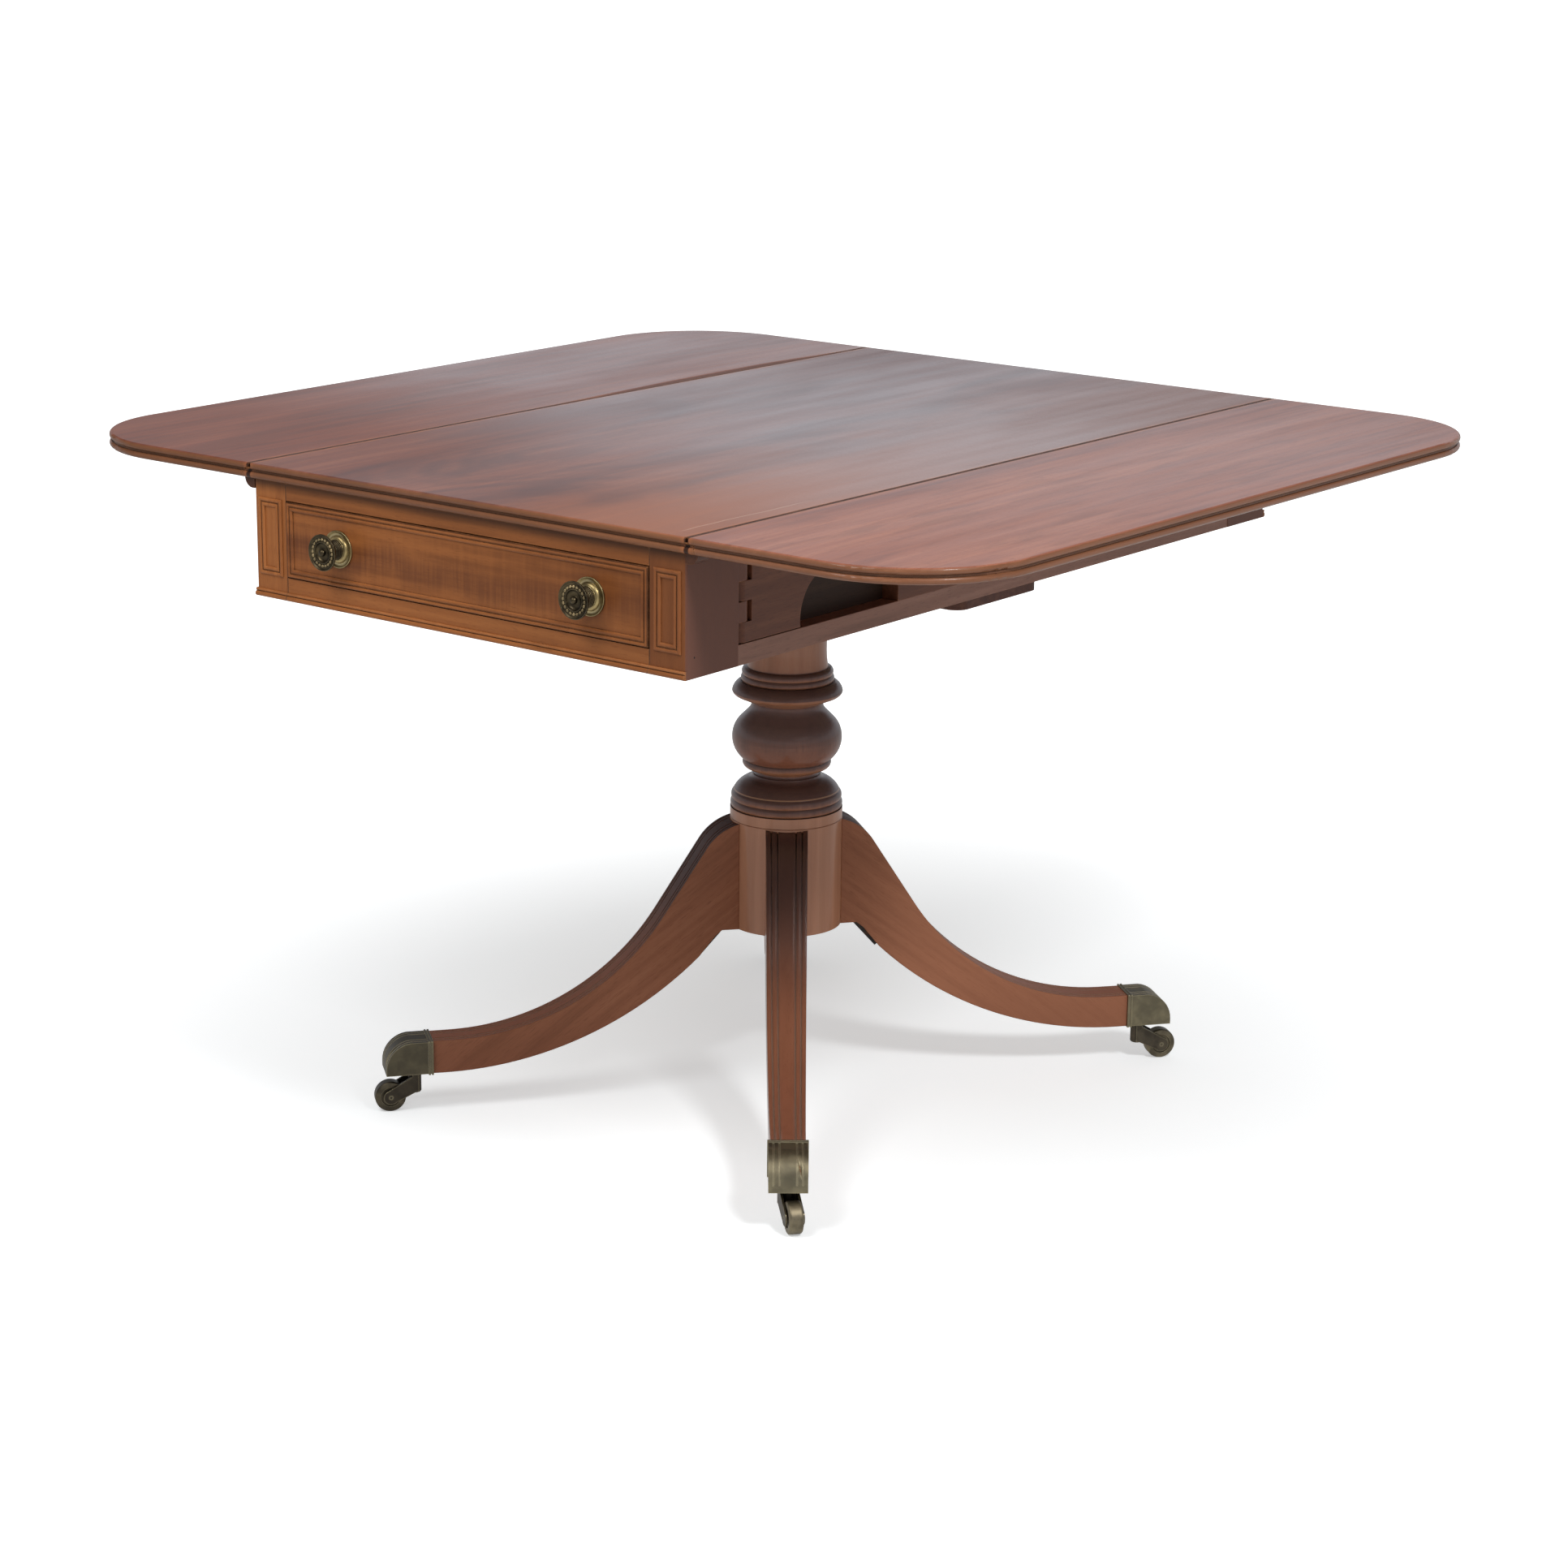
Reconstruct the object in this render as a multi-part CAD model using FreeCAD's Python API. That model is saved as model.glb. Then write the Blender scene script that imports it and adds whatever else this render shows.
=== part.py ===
import FreeCAD, Part
import math
import os

# A pembroke table on a pedestal, in millimetres. The floor is z = 0 and the drawer end faces minus Y.

# Whole table
table_height = 720.0
open_width = 1120.0
top_depth = 1010.0
cut_overrun = 4.0
flat_tolerance = 0.001

# Top boards and their reeded edge
top_thickness = 15.0
leaf_corner_radius = 130.0
quirk_height = 2.0
quirk_depth = 3.0
reed_round_share = 0.49

# Rule joint between the centre board and each leaf
joint_overhang = 2.8
joint_radius = 10.5
joint_clearance = 0.4
joint_gap = 0.8
joint_corner_radius = 4.0

# Iron hinges of the rule joint
hinge_length = 44.0
hinge_end_inset = 45.0
fixed_flap_width = 36.0
leaf_flap_width = 48.0
flap_thickness = 2.0
knuckle_radius = 2.5
hinge_pin_radius = 1.25
hinge_play = 0.4
pin_play = 0.05
screw_radius = 1.8
screw_head_radius = 3.4
screw_length = 11.0
fixed_screw_shares = (0.3, 0.7)
leaf_screw_shares = (0.5, 0.8)

# Frieze and its end posts
frieze_width = 550.0
end_overhang = 5.0
frieze_height = 117.5
post_width = 43.0
post_length = 75.0
post_edge_radius = 2.5
end_rail_thickness = 22.0
bottom_rail_thickness = 30.0
bottom_rail_height = 23.0
top_rail_height = 17.5
tenon_length = 12.0
tenon_share = 0.5
low_bead_height = 5.2
low_bead_depth = 2.4
high_bead_height = 3.0
high_bead_depth = 1.3
base_bead_step = 0.8
fillet_length = 18.0

# Side rails, and the strips and fillers that stand outside them
inner_rail_thickness = 17.5
bracket_thickness = 18.5
bracket_setback = 0.5
bracket_play = 0.5
strip_height = 19.5
filler_gap = 1.6

# Fly brackets and their wooden knuckles
bracket_length = 234.0
bracket_root_length = 82.5
bracket_arm_depth = 47.6
bracket_cove_length = 30.0
bracket_leaf_gap = 0.4
bracket_floor_gap = 1.0
cove_mid_share = (0.26, 0.66)
knuckle_count = 5
knuckle_shoulder_gap = 0.45
knuckle_end_gap = 0.75
knuckle_side_gap = 0.3
bracket_pin_radius = 2.5
bracket_pin_depth = 10.0

# Drawer and dummy drawer
drawer_gap = 1.0
front_thickness = 20.0
drawer_back_room = 100.0
drawer_side_thickness = 9.0
drawer_side_gap = 2.0
drawer_side_top_drop = 7.0
drawer_back_thickness = 10.0
drawer_bottom_thickness = 6.0
drawer_bottom_rise = 5.0
drawer_groove_depth = 4.0
tail_count = 3
tail_length = 13.0
tail_root_share = 0.5
tail_end_share = 0.68
bead_width = 4.0
bead_depth = 2.0
bead_quirk = 0.6
bead_base = 0.6
bead_round_share = 0.45
post_panel_inset = 5.5

# Drawer runners and kickers
runner_width = 24.0
runner_thickness = 12.0
runner_gap = 0.3
guide_width = 6.5
guide_height = 13.0
kicker_width = 20.0
kicker_gap = 1.0

# Brass knobs
knob_place_share = 0.696
plate_radius = 18.4
plate_depth = 5.0
knob_radius = 18.0
knob_reach = 26.0
knob_stem_foot_radius = 9.6
knob_stem_top_radius = 7.2
knob_ring_raise = 0.7
knob_ring_count = 4
knob_boss_radius = 3.6
knob_boss_turn = 120.0
knob_bolt_radius = 2.5
nut_radius = 6.0
nut_depth = 4.0
plate_rim_shares = ((1.0, 0.2), ((0.975, 0.42), (0.94, 0.36)))
plate_dish_shares = ((0.84, 0.16), (0.74, 0.2))
plate_boss_shares = ((0.7, 0.62), (0.58, 0.9))
knob_rings_share = 0.3
knob_neck_shares = ((0.36, 0.43), (0.47, 0.63))
knob_back_shares = ((0.75, 0.735), (1.0, 0.8))
knob_rim_shares = ((1.0, 0.85), ((0.98, 0.876), (0.945, 0.867)))
knob_hollow_shares = ((0.867, 0.81), (0.8, 0.805))
knob_bed_share = (0.62, 0.805)
knob_inner_ring_shares = ((0.59, 0.867), (0.533, 0.838))
knob_recess_share = (0.417, 0.724)

# Pillar block under the frame
block_end_inset = 5.0
block_width = 142.0
block_drop = 10.5
block_rise = 11.0
block_corner_radius = 15.0
block_screw_spacing = 92.0
block_screw_length = 32.0
block_screw_radius = 2.5
block_screw_head_radius = 5.0
block_screw_head_depth = 3.0

# Turned column: radii are shares of its own, levels are shares of the rise from leg line to pillar block
column_radius = 60.0
drum_bottom = 185.0
leg_line = 303.0
line_depth = 0.6
column_tenon_radius = 24.0
drum_top_shares = ((1.0, 0.0416), (0.972, 0.042))
drum_reed_shares = (((0.997, 0.058), (0.967, 0.0752)), ((0.982, 0.092), (0.945, 0.1073)))
dome_shares = ((0.937, 0.1109), ((0.85, 0.1358), (0.683, 0.1551)), ((0.63, 0.162), (0.605, 0.1723)))
low_neck_shares = ((0.583, 0.173), ((0.565, 0.1832), (0.607, 0.1949)))
ring_shares = ((0.677, 0.1978), ((0.765, 0.2058), (0.788, 0.2182)), ((0.785, 0.2259), (0.772, 0.2321)))
bulb_shares = (((0.922, 0.2712), (0.975, 0.3212)), ((0.939, 0.3606), (0.837, 0.3942)),
               (0.697, 0.4248), ((0.646, 0.4412), (0.628, 0.4584)))
torus_shares = ((0.643, 0.4606), (0.903, 0.4861), ((0.957, 0.4934), (0.98, 0.5036)),
                ((0.95, 0.5219), (0.843, 0.5423)))
neck_reed_shares = ((0.81, 0.5434), ((0.825, 0.5562), (0.797, 0.5701)), ((0.81, 0.5825), (0.77, 0.5964)))
neck_shares = ((0.717, 0.5993), ((0.698, 0.6277), (0.688, 0.6642)), (0.688, 1.0))

# Sabre legs
leg_angle = 38.8
leg_root_width = 44.7
leg_toe_width = 35.0
leg_root_top = 302.5
leg_bed = 8.0
leg_top_shares = ((0.044, 0.96), (0.094, 0.886), (0.238, 0.559), (0.542, 0.144), (0.932, 0.0))
leg_bottom_shares = ((0.043, 1.0), (0.066, 0.957), (0.12, 0.8), (0.506, 0.212), (0.969, 0.0))
dovetail_root_width = 16.0
dovetail_end_width = 22.0
dovetail_depth = 16.0
dovetail_top_drop = 18.0
leg_quirk_width = 1.8
leg_quirk_depth = 1.6
leg_quirk_shares = (0.44, 0.74)

# Iron spider under the column
strap_thickness = 3.0
strap_width = 26.0
spider_radius = 40.0
spider_screw_radius = 2.5
spider_screw_head_radius = 5.0
spider_screw_head_depth = 2.4
spider_screw_length = 24.0
spider_screw_share = 0.95

# Brass toe caps
cap_start = 385.0
cap_length = 50.0
cap_bottom = 44.0
cap_height = 35.5
cap_wall = 2.0
cap_toe_rise = 6.0
cap_toe_length = 26.0
cap_toe_mid_shares = (0.76, 0.62)
collar_ridge_length = 2.0
collar_ridge_gap = 1.2
collar_ridge_count = 2
collar_raise = 1.0
cap_quirk_depth = 0.8

# Castors
front_right_heading = 12.0
pintle_inset = 18.0
castor_trail = 26.5
wheel_radius = 16.5
wheel_width = 14.4
wheel_round = 2.5
hub_recess = 1.2
hub_recess_share = 0.62
cheek_thickness = 2.2
cheek_gap = 0.4
cheek_end_radius = 8.0
cheek_corner_share = 0.7
barrel_radius = 7.0
barrel_bottom = 19.0
barrel_round = 2.0
flange_radius = 11.0
flange_thickness = 3.0
flange_gap = 0.4
pintle_radius = 3.5
pintle_head_radius = 5.5
pintle_head_depth = 2.5
pintle_room = 1.0
axle_radius = 2.2

# Levels and half sizes that follow from the sizes above
underside = table_height - top_thickness
reed_height = (top_thickness - quirk_height) / 2
frieze_x = frieze_width / 2
frieze_y = top_depth / 2 - end_overhang
joint_x = frieze_x + joint_overhang
frieze_bottom = underside - frieze_height
post_in_x = frieze_x - post_width
post_in_y = frieze_y - post_length
opening_bottom = frieze_bottom + bottom_rail_height
opening_top = underside - top_rail_height
bracket_out_x = frieze_x - bracket_setback
bracket_in_x = bracket_out_x - bracket_thickness
rail_out_x = bracket_in_x - bracket_play
rail_in_x = rail_out_x - inner_rail_thickness
strip_top = frieze_bottom + strip_height
bracket_bottom = strip_top + bracket_floor_gap
bracket_top = underside - bracket_leaf_gap
bracket_radius = bracket_thickness / 2
pin_x = bracket_in_x + bracket_radius
pin_y = post_in_y - knuckle_end_gap - bracket_radius
drawer_x = post_in_x - drawer_gap
drawer_low = opening_bottom + drawer_gap
drawer_high = opening_top - drawer_gap
drawer_side_x = drawer_x - drawer_side_gap
drawer_in_x = drawer_side_x - drawer_side_thickness
drawer_back_y = frieze_y - drawer_back_room
runner_top = drawer_low - runner_gap
runner_bottom = runner_top - runner_thickness
block_bottom = frieze_bottom - block_drop
block_top = frieze_bottom + block_rise
hinge_y = (hinge_end_inset - frieze_y, 0, frieze_y - hinge_end_inset)
knob_x = drawer_x * knob_place_share
knob_z = (opening_bottom + opening_top) / 2
cap_top = cap_bottom + cap_height
pintle_u = cap_start + pintle_inset
axle_u = pintle_u + castor_trail


def at(x, y, z):
    return FreeCAD.Vector(x, y, z)


def box(x0, x1, y0, y1, z0, z1):
    return Part.makeBox(x1 - x0, y1 - y0, z1 - z0, at(x0, y0, z0))


def rod(start, end, radius):
    along = end.sub(start)
    return Part.makeCylinder(radius, along.Length, start, along)


def outline(items):
    """Face inside a closed outline of points; a pair of points is an arc's middle and end."""
    edges = []
    here = items[0]
    for item in items[1:] + [items[0]]:
        if isinstance(item, tuple):
            edges.append(Part.Arc(here, item[0], item[1]).toShape())
            here = item[1]
        else:
            edges.append(Part.makeLine(here, item))
            here = item
    return Part.Face(Part.Wire(edges))


def side_arc(centre, radius, start_deg, end_deg):
    """Middle and end points of an arc in the X-Z plane."""
    points = []
    for angle in ((start_deg + end_deg) / 2, end_deg):
        turn = math.radians(angle)
        points.append(centre.add(at(radius * math.cos(turn), 0, radius * math.sin(turn))))
    return tuple(points)


def turned(items):
    """Solid turned about Z from an outline in the X-Z plane."""
    return outline(items).revolve(at(0, 0, 0), at(0, 0, 1), 360)


def screw(tip, down, length, radius, head_radius, head_depth):
    """Countersunk screw whose flat head faces along down from its tip end."""
    head = tip.add(FreeCAD.Vector(down).multiply(length))
    neck = head.sub(FreeCAD.Vector(down).multiply(head_depth))
    cone = Part.makeCone(radius, head_radius, head_depth, neck, down)
    return rod(tip, neck, radius).fuse(cone).removeSplitter()


def corner_waste(x, y, axis_x, axis_y, low, high):
    """Waste outside an upright corner at x, y that is rounded about an axis."""
    x0, x1 = sorted((axis_x, x + math.copysign(cut_overrun, x - axis_x)))
    y0, y1 = sorted((axis_y, y + math.copysign(cut_overrun, y - axis_y)))
    round_rod = rod(at(axis_x, axis_y, low), at(axis_x, axis_y, high), abs(x - axis_x))
    return box(x0, x1, y0, y1, low, high).cut(round_rod)


def flip_x(shape):
    return shape.mirror(at(0, 0, 0), at(1, 0, 0))


def flip_y(shape):
    return shape.mirror(at(0, 0, 0), at(0, 1, 0))


def turn_z(shape, angle):
    copy = shape.copy()
    copy.rotate(at(0, 0, 0), at(0, 0, 1), angle)
    return copy


def save(name, *shapes):
    solids = []
    for shape in shapes:
        solids += shape.Solids
    group = solids[0] if len(solids) == 1 else Part.makeCompound(solids)
    group.exportStep("parts/" + name + ".step")


os.makedirs("parts", exist_ok=True)


# Reeded boards of the top
def reeded_board(make_outline):
    """Board with two reeds and the quirk between them worked round its edge."""
    reeds = []
    for low in (underside, table_height - reed_height):
        plate = make_outline(0, low).extrude(at(0, 0, reed_height))
        edges = [edge for edge in plate.Edges if edge.BoundBox.ZLength < flat_tolerance]
        reeds.append(plate.makeFillet(reed_height * reed_round_share, edges))
    core = make_outline(quirk_depth, underside).extrude(at(0, 0, top_thickness))
    return core.fuse(reeds).removeSplitter()


def centre_outline(inset, z):
    x = joint_x + joint_radius + reed_height - inset
    y = top_depth / 2 - inset
    return outline([at(-x, -y, z), at(x, -y, z), at(x, y, z), at(-x, y, z)])


def leaf_outline(inset, z):
    x0 = joint_x - reed_height + inset
    x1 = open_width / 2 - inset
    y = top_depth / 2 - inset
    radius = leaf_corner_radius - inset
    bend = radius * (1 - math.cos(math.radians(45)))
    return outline([
        at(x0, -y, z),
        at(x1 - radius, -y, z),
        (at(x1 - bend, bend - y, z), at(x1, radius - y, z)),
        at(x1, y - radius, z),
        (at(x1 - bend, y - bend, z), at(x1 - radius, y, z)),
        at(x0, y, z),
    ])


# Iron hinges on the right joint, with the pin on the joint's axis
knuckle_length = hinge_length / 3
fixed_flaps = []
leaf_flaps = []
hinge_pins = []
fixed_screws = []
leaf_screws = []
top_cuts = []
leaf_cuts = []
for middle in hinge_y:
    y0 = middle - hinge_length / 2
    y1 = middle + hinge_length / 2
    k0 = middle - knuckle_length / 2
    k1 = middle + knuckle_length / 2
    axis0 = at(joint_x, y0, underside)
    axis1 = at(joint_x, y1, underside)
    inner0 = at(joint_x, k0 + hinge_play, underside)
    inner1 = at(joint_x, k1 - hinge_play, underside)
    flap_top = underside + flap_thickness
    reach = knuckle_radius + hinge_play
    bore = rod(axis0, axis1, hinge_pin_radius)
    wide_bore = rod(axis0, axis1, hinge_pin_radius + pin_play)
    fixed_room = box(joint_x - reach, joint_x + reach, k0, k1, underside - reach, underside + reach)
    fixed = box(joint_x - fixed_flap_width, joint_x, y0, y1, underside, flap_top)
    fixed = fixed.fuse(rod(axis0, axis1, knuckle_radius)).cut(fixed_room).cut(bore).removeSplitter()
    leaf_room = rod(axis0, inner0, reach).fuse(rod(inner1, axis1, reach))
    leaf_plate = box(joint_x, joint_x + leaf_flap_width, y0, y1, underside, flap_top).cut(leaf_room)
    leaf_flap = leaf_plate.fuse(rod(inner0, inner1, knuckle_radius)).cut(wide_bore).removeSplitter()
    screw_y = (middle - hinge_length / 4, middle + hinge_length / 4)
    for y in screw_y:
        for share in fixed_screw_shares:
            tip = at(joint_x - fixed_flap_width * share, y, underside + screw_length)
            fixed_screws.append(
                screw(tip, at(0, 0, -1), screw_length, screw_radius, screw_head_radius, flap_thickness))
        for share in leaf_screw_shares:
            tip = at(joint_x + leaf_flap_width * share, y, underside + screw_length)
            leaf_screws.append(
                screw(tip, at(0, 0, -1), screw_length, screw_radius, screw_head_radius, flap_thickness))
    fixed_flaps.append(fixed.cut(fixed_screws))
    leaf_flaps.append(leaf_flap.cut(leaf_screws))
    hinge_pins.append(bore)
    c0 = y0 - hinge_play
    c1 = y1 + hinge_play
    top_cuts.append(box(joint_x - fixed_flap_width, joint_x, y0, y1, underside - cut_overrun, flap_top))
    top_cuts.append(rod(at(joint_x, c0, underside), at(joint_x, c1, underside), reach))
    top_cuts.append(box(joint_x, joint_x + joint_radius + cut_overrun, c0, c1,
                        underside - cut_overrun, flap_top + hinge_play))
    leaf_cuts.append(box(joint_x, joint_x + leaf_flap_width, y0, y1, underside - cut_overrun, flap_top))

# Centre board: a reeded board with the round half of the rule joint along both sides
right_axis = at(joint_x, 0, underside)
left_axis = at(-joint_x, 0, underside)
section = outline([
    at(-joint_x, 0, table_height),
    at(joint_x, 0, table_height),
    at(joint_x, 0, underside + joint_radius),
    side_arc(right_axis, joint_radius, 90, 0),
    at(-joint_x - joint_radius, 0, underside),
    side_arc(left_axis, joint_radius, 180, 90),
])
section.translate(at(0, -top_depth, 0))
rule_shape = section.extrude(at(0, 2 * top_depth, 0))
end_y = -top_depth / 2
end_axis_y = end_y + joint_corner_radius
centre_corner = corner_waste(joint_x, end_y, joint_x - joint_corner_radius, end_axis_y,
                             underside + joint_radius, table_height + cut_overrun)
centre_cuts = top_cuts + fixed_screws + [centre_corner, flip_y(centre_corner)]
centre_cuts += [flip_x(cut) for cut in centre_cuts]
save("centre_top", reeded_board(centre_outline).common(rule_shape).cut(centre_cuts))

# Leaves: reeded boards with rounded outer corners and the hollow half of the joint
hollow = rod(at(joint_x, -top_depth, underside), at(joint_x, top_depth, underside),
             joint_radius + joint_clearance)
behind = box(joint_x - joint_radius - reed_height, joint_x + joint_gap, -top_depth, top_depth,
             underside - cut_overrun, table_height + cut_overrun)
leaf_in_x = joint_x + joint_gap
leaf_corner = corner_waste(leaf_in_x, end_y, leaf_in_x + joint_corner_radius, end_axis_y,
                           underside - cut_overrun, table_height + cut_overrun)
leaf_cuts += [hollow, behind, leaf_corner, flip_y(leaf_corner)]
right_leaf = reeded_board(leaf_outline).cut(leaf_cuts + leaf_screws)
save("right_leaf", right_leaf)
save("left_leaf", flip_x(right_leaf))

# Hinge ironwork
fixed_iron = fixed_flaps + fixed_screws
save("hinge_fixed_flaps", *(fixed_iron + [flip_x(iron) for iron in fixed_iron]))
save("hinge_pins", *(hinge_pins + [flip_x(pin) for pin in hinge_pins]))
save("right_leaf_hinges", *(leaf_flaps + leaf_screws))
save("left_leaf_hinges", *[flip_x(iron) for iron in leaf_flaps + leaf_screws])

# Fly bracket at the front right, with its wooden knuckles, and the post that carries it
level_height = (bracket_top - bracket_bottom) / knuckle_count
fixed_levels = []
for level in range(1, knuckle_count, 2):
    low = bracket_bottom + level * level_height
    fixed_levels.append((low, low + level_height))
arm_z = bracket_top - bracket_arm_depth
nose = at(bracket_length - bracket_arm_depth, 0, bracket_top)
cove_rise = arm_z - bracket_bottom
profile = outline([
    at(0, 0, bracket_bottom),
    at(bracket_root_length, 0, bracket_bottom),
    (at(bracket_root_length + bracket_cove_length * cove_mid_share[0], 0,
        bracket_bottom + cove_rise * cove_mid_share[1]),
     at(bracket_root_length + bracket_cove_length, 0, arm_z)),
    at(bracket_length - bracket_arm_depth, 0, arm_z),
    side_arc(nose, bracket_arm_depth, 270, 360),
    at(0, 0, bracket_top),
])
bracket = profile.extrude(at(0, -bracket_thickness, 0))
bracket.translate(at(0, bracket_radius, 0))
bracket = bracket.fuse(rod(at(0, 0, bracket_bottom), at(0, 0, bracket_top), bracket_radius))
shoulder = bracket_radius + knuckle_shoulder_gap
for low, high in fixed_levels:
    bracket = bracket.cut(box(-bracket_thickness, shoulder, -bracket_thickness, bracket_thickness,
                              low - knuckle_side_gap, high + knuckle_side_gap))
bracket = bracket.cut(rod(at(0, 0, bracket_bottom), at(0, 0, bracket_top), bracket_pin_radius + pin_play))
bracket = turn_z(bracket.removeSplitter(), 90)
bracket.translate(at(pin_x, -pin_y, 0))
save("front_right_bracket", bracket)
save("front_left_bracket", flip_x(bracket))
save("back_right_bracket", flip_y(bracket))
save("back_left_bracket", flip_x(flip_y(bracket)))

bracket_pin = rod(at(pin_x, -pin_y, strip_top - bracket_pin_depth), at(pin_x, -pin_y, bracket_top),
                  bracket_pin_radius)
bracket_pins = [bracket_pin, flip_x(bracket_pin), flip_y(bracket_pin), flip_x(flip_y(bracket_pin))]
save("bracket_pins", *bracket_pins)

# End rails, tenoned into the posts
rail_tenons = []


def end_rail(name, depth, low, high):
    rail = box(-post_in_x, post_in_x, -frieze_y, depth - frieze_y, low, high)
    spare = (1 - tenon_share) / 2
    tenon = box(-post_in_x - tenon_length, post_in_x + tenon_length,
                depth * spare - frieze_y, depth * (1 - spare) - frieze_y,
                low + (high - low) * spare, high - (high - low) * spare)
    rail_tenons.append(tenon)
    rail = rail.fuse(tenon).removeSplitter()
    save("front_" + name, rail)
    save("back_" + name, flip_y(rail))


end_rail("top_rail", end_rail_thickness, opening_top, underside)
end_rail("bottom_rail", bottom_rail_thickness, frieze_bottom, opening_bottom)

post = box(post_in_x, frieze_x, -frieze_y, -post_in_y, frieze_bottom, underside)
post_waste = corner_waste(frieze_x, -frieze_y, frieze_x - post_edge_radius, post_edge_radius - frieze_y,
                          frieze_bottom + low_bead_height + high_bead_height, underside)
for low, high in fixed_levels:
    finger = box(bracket_in_x, bracket_out_x, -post_in_y, -pin_y, low, high)
    finger = finger.fuse(rod(at(pin_x, -pin_y, low), at(pin_x, -pin_y, high), bracket_radius))
    post = post.fuse(finger)
post = post.cut(rail_tenons + [bracket_pin, post_waste]).removeSplitter()
save("front_right_post", post)
save("front_left_post", flip_x(post))
save("back_right_post", flip_y(post))
save("back_left_post", flip_x(flip_y(post)))

# Quarter rounds under the ends of the rule joints
fillet = outline([
    at(frieze_x, 0, underside),
    at(joint_x + joint_radius, 0, underside),
    side_arc(right_axis, joint_radius, 0, -90),
    at(frieze_x, 0, underside - joint_radius),
]).extrude(at(0, fillet_length, 0))
fillet.translate(at(0, -frieze_y, 0))
save("joint_fillets", fillet, flip_x(fillet), flip_y(fillet), flip_x(flip_y(fillet)))

# Side rails, lower strips and middle fillers
inner_rail = box(rail_in_x, rail_out_x, -post_in_y, post_in_y, frieze_bottom, underside)
strip = box(rail_out_x, bracket_out_x, -post_in_y, post_in_y, frieze_bottom, strip_top)
strip = strip.cut([bracket_pin, flip_y(bracket_pin)])
filler_y = pin_y - bracket_length - filler_gap
filler = box(rail_out_x, bracket_out_x, -filler_y, filler_y, strip_top, underside)
knuckle_room = box(joint_x - knuckle_radius - hinge_play, frieze_x + cut_overrun,
                   -hinge_length / 2 - hinge_play, hinge_length / 2 + hinge_play,
                   underside - knuckle_radius - hinge_play, underside + cut_overrun)
filler = filler.cut(knuckle_room)

# Base beads along the foot of both ends, in three lengths
bead_seam = frieze_bottom + low_bead_height
bead_y = -frieze_y - base_bead_step
bead_points = [
    at(0, -frieze_y, frieze_bottom),
    at(0, bead_y, frieze_bottom),
    (at(0, bead_y - low_bead_depth, frieze_bottom + low_bead_height / 2), at(0, bead_y, bead_seam)),
    (at(0, bead_y - high_bead_depth, bead_seam + high_bead_height / 2),
     at(0, bead_y, bead_seam + high_bead_height)),
    at(0, -frieze_y, bead_seam + high_bead_height),
]
base_beads = []
for x0, x1 in ((-frieze_x, -post_in_x), (-post_in_x, post_in_x), (post_in_x, frieze_x)):
    bead = outline(bead_points).extrude(at(x1 - x0, 0, 0))
    bead.translate(at(x0, 0, 0))
    base_beads += [bead, flip_y(bead)]
save("base_beads", *base_beads)


def bead_frame(x0, x1, z0, z1):
    """Double bead mitred round a panel on the drawer end, standing on the face of the frieze."""
    frame = None
    for ring in range(2):
        inset = ring * (bead_width + bead_quirk)
        outer = box(x0 + inset, x1 - inset, -bead_depth, 0, z0 + inset, z1 - inset)
        inner_inset = inset + bead_width
        hole = box(x0 + inner_inset, x1 - inner_inset, -bead_depth - cut_overrun, cut_overrun,
                   z0 + inner_inset, z1 - inner_inset)
        bead = outer.cut(hole)
        edges = [edge for edge in bead.Edges
                 if edge.BoundBox.YLength < flat_tolerance and edge.BoundBox.YMin < -bead_depth / 2]
        bead = bead.makeFillet(bead_width * bead_round_share, edges)
        frame = bead if frame is None else frame.fuse(bead)
    full = 2 * bead_width + bead_quirk
    base = box(x0, x1, -bead_base, 0, z0, z1)
    base = base.cut(box(x0 + full, x1 - full, -bead_base - cut_overrun, cut_overrun, z0 + full, z1 - full))
    frame = frame.fuse(base).removeSplitter()
    frame.translate(at(0, -frieze_y, 0))
    return frame


panel = bead_frame(post_in_x + post_panel_inset, frieze_x - post_panel_inset, opening_bottom, opening_top)
save("post_panel_beads", panel, flip_x(panel), flip_y(panel), flip_x(flip_y(panel)))

# Brass knobs and backplates, turned about Z and then laid along minus Y
def from_shares(shares, radius, low, high):
    """Point of a turned outline, or the pair of points of an arc."""
    if isinstance(shares[0], tuple):
        return tuple(from_shares(pair, radius, low, high) for pair in shares)
    return at(radius * shares[0], 0, low + (high - low) * shares[1])


plate_items = [at(knob_bolt_radius, 0, 0), at(plate_radius, 0, 0)]
for shares in (*plate_rim_shares, plate_dish_shares, plate_boss_shares):
    plate_items.append(from_shares(shares, plate_radius, 0, plate_depth))
plate_items += [at(plate_items[-1][1].x, 0, plate_depth), at(knob_bolt_radius, 0, plate_depth)]
knob_items = [
    at(0, 0, -front_thickness - nut_depth),
    at(knob_bolt_radius, 0, -front_thickness - nut_depth),
    at(knob_bolt_radius, 0, plate_depth),
    at(knob_stem_foot_radius, 0, plate_depth),
]
ring_pitch = (knob_reach - plate_depth) * knob_rings_share / knob_ring_count
ring_step = (knob_stem_foot_radius - knob_stem_top_radius) / knob_ring_count
for ring in range(1, knob_ring_count + 1):
    radius = knob_stem_foot_radius - ring_step * ring
    height = plate_depth + ring_pitch * ring
    knob_items.append((at(radius + knob_ring_raise + ring_step / 2, 0, height - ring_pitch / 2),
                       at(radius, 0, height)))
for shares in (knob_neck_shares, knob_back_shares, *knob_rim_shares, knob_hollow_shares, knob_bed_share,
               knob_inner_ring_shares):
    knob_items.append(from_shares(shares, knob_radius, plate_depth, knob_reach))
boss_middle = at(0, 0, knob_reach - knob_boss_radius)
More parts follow.
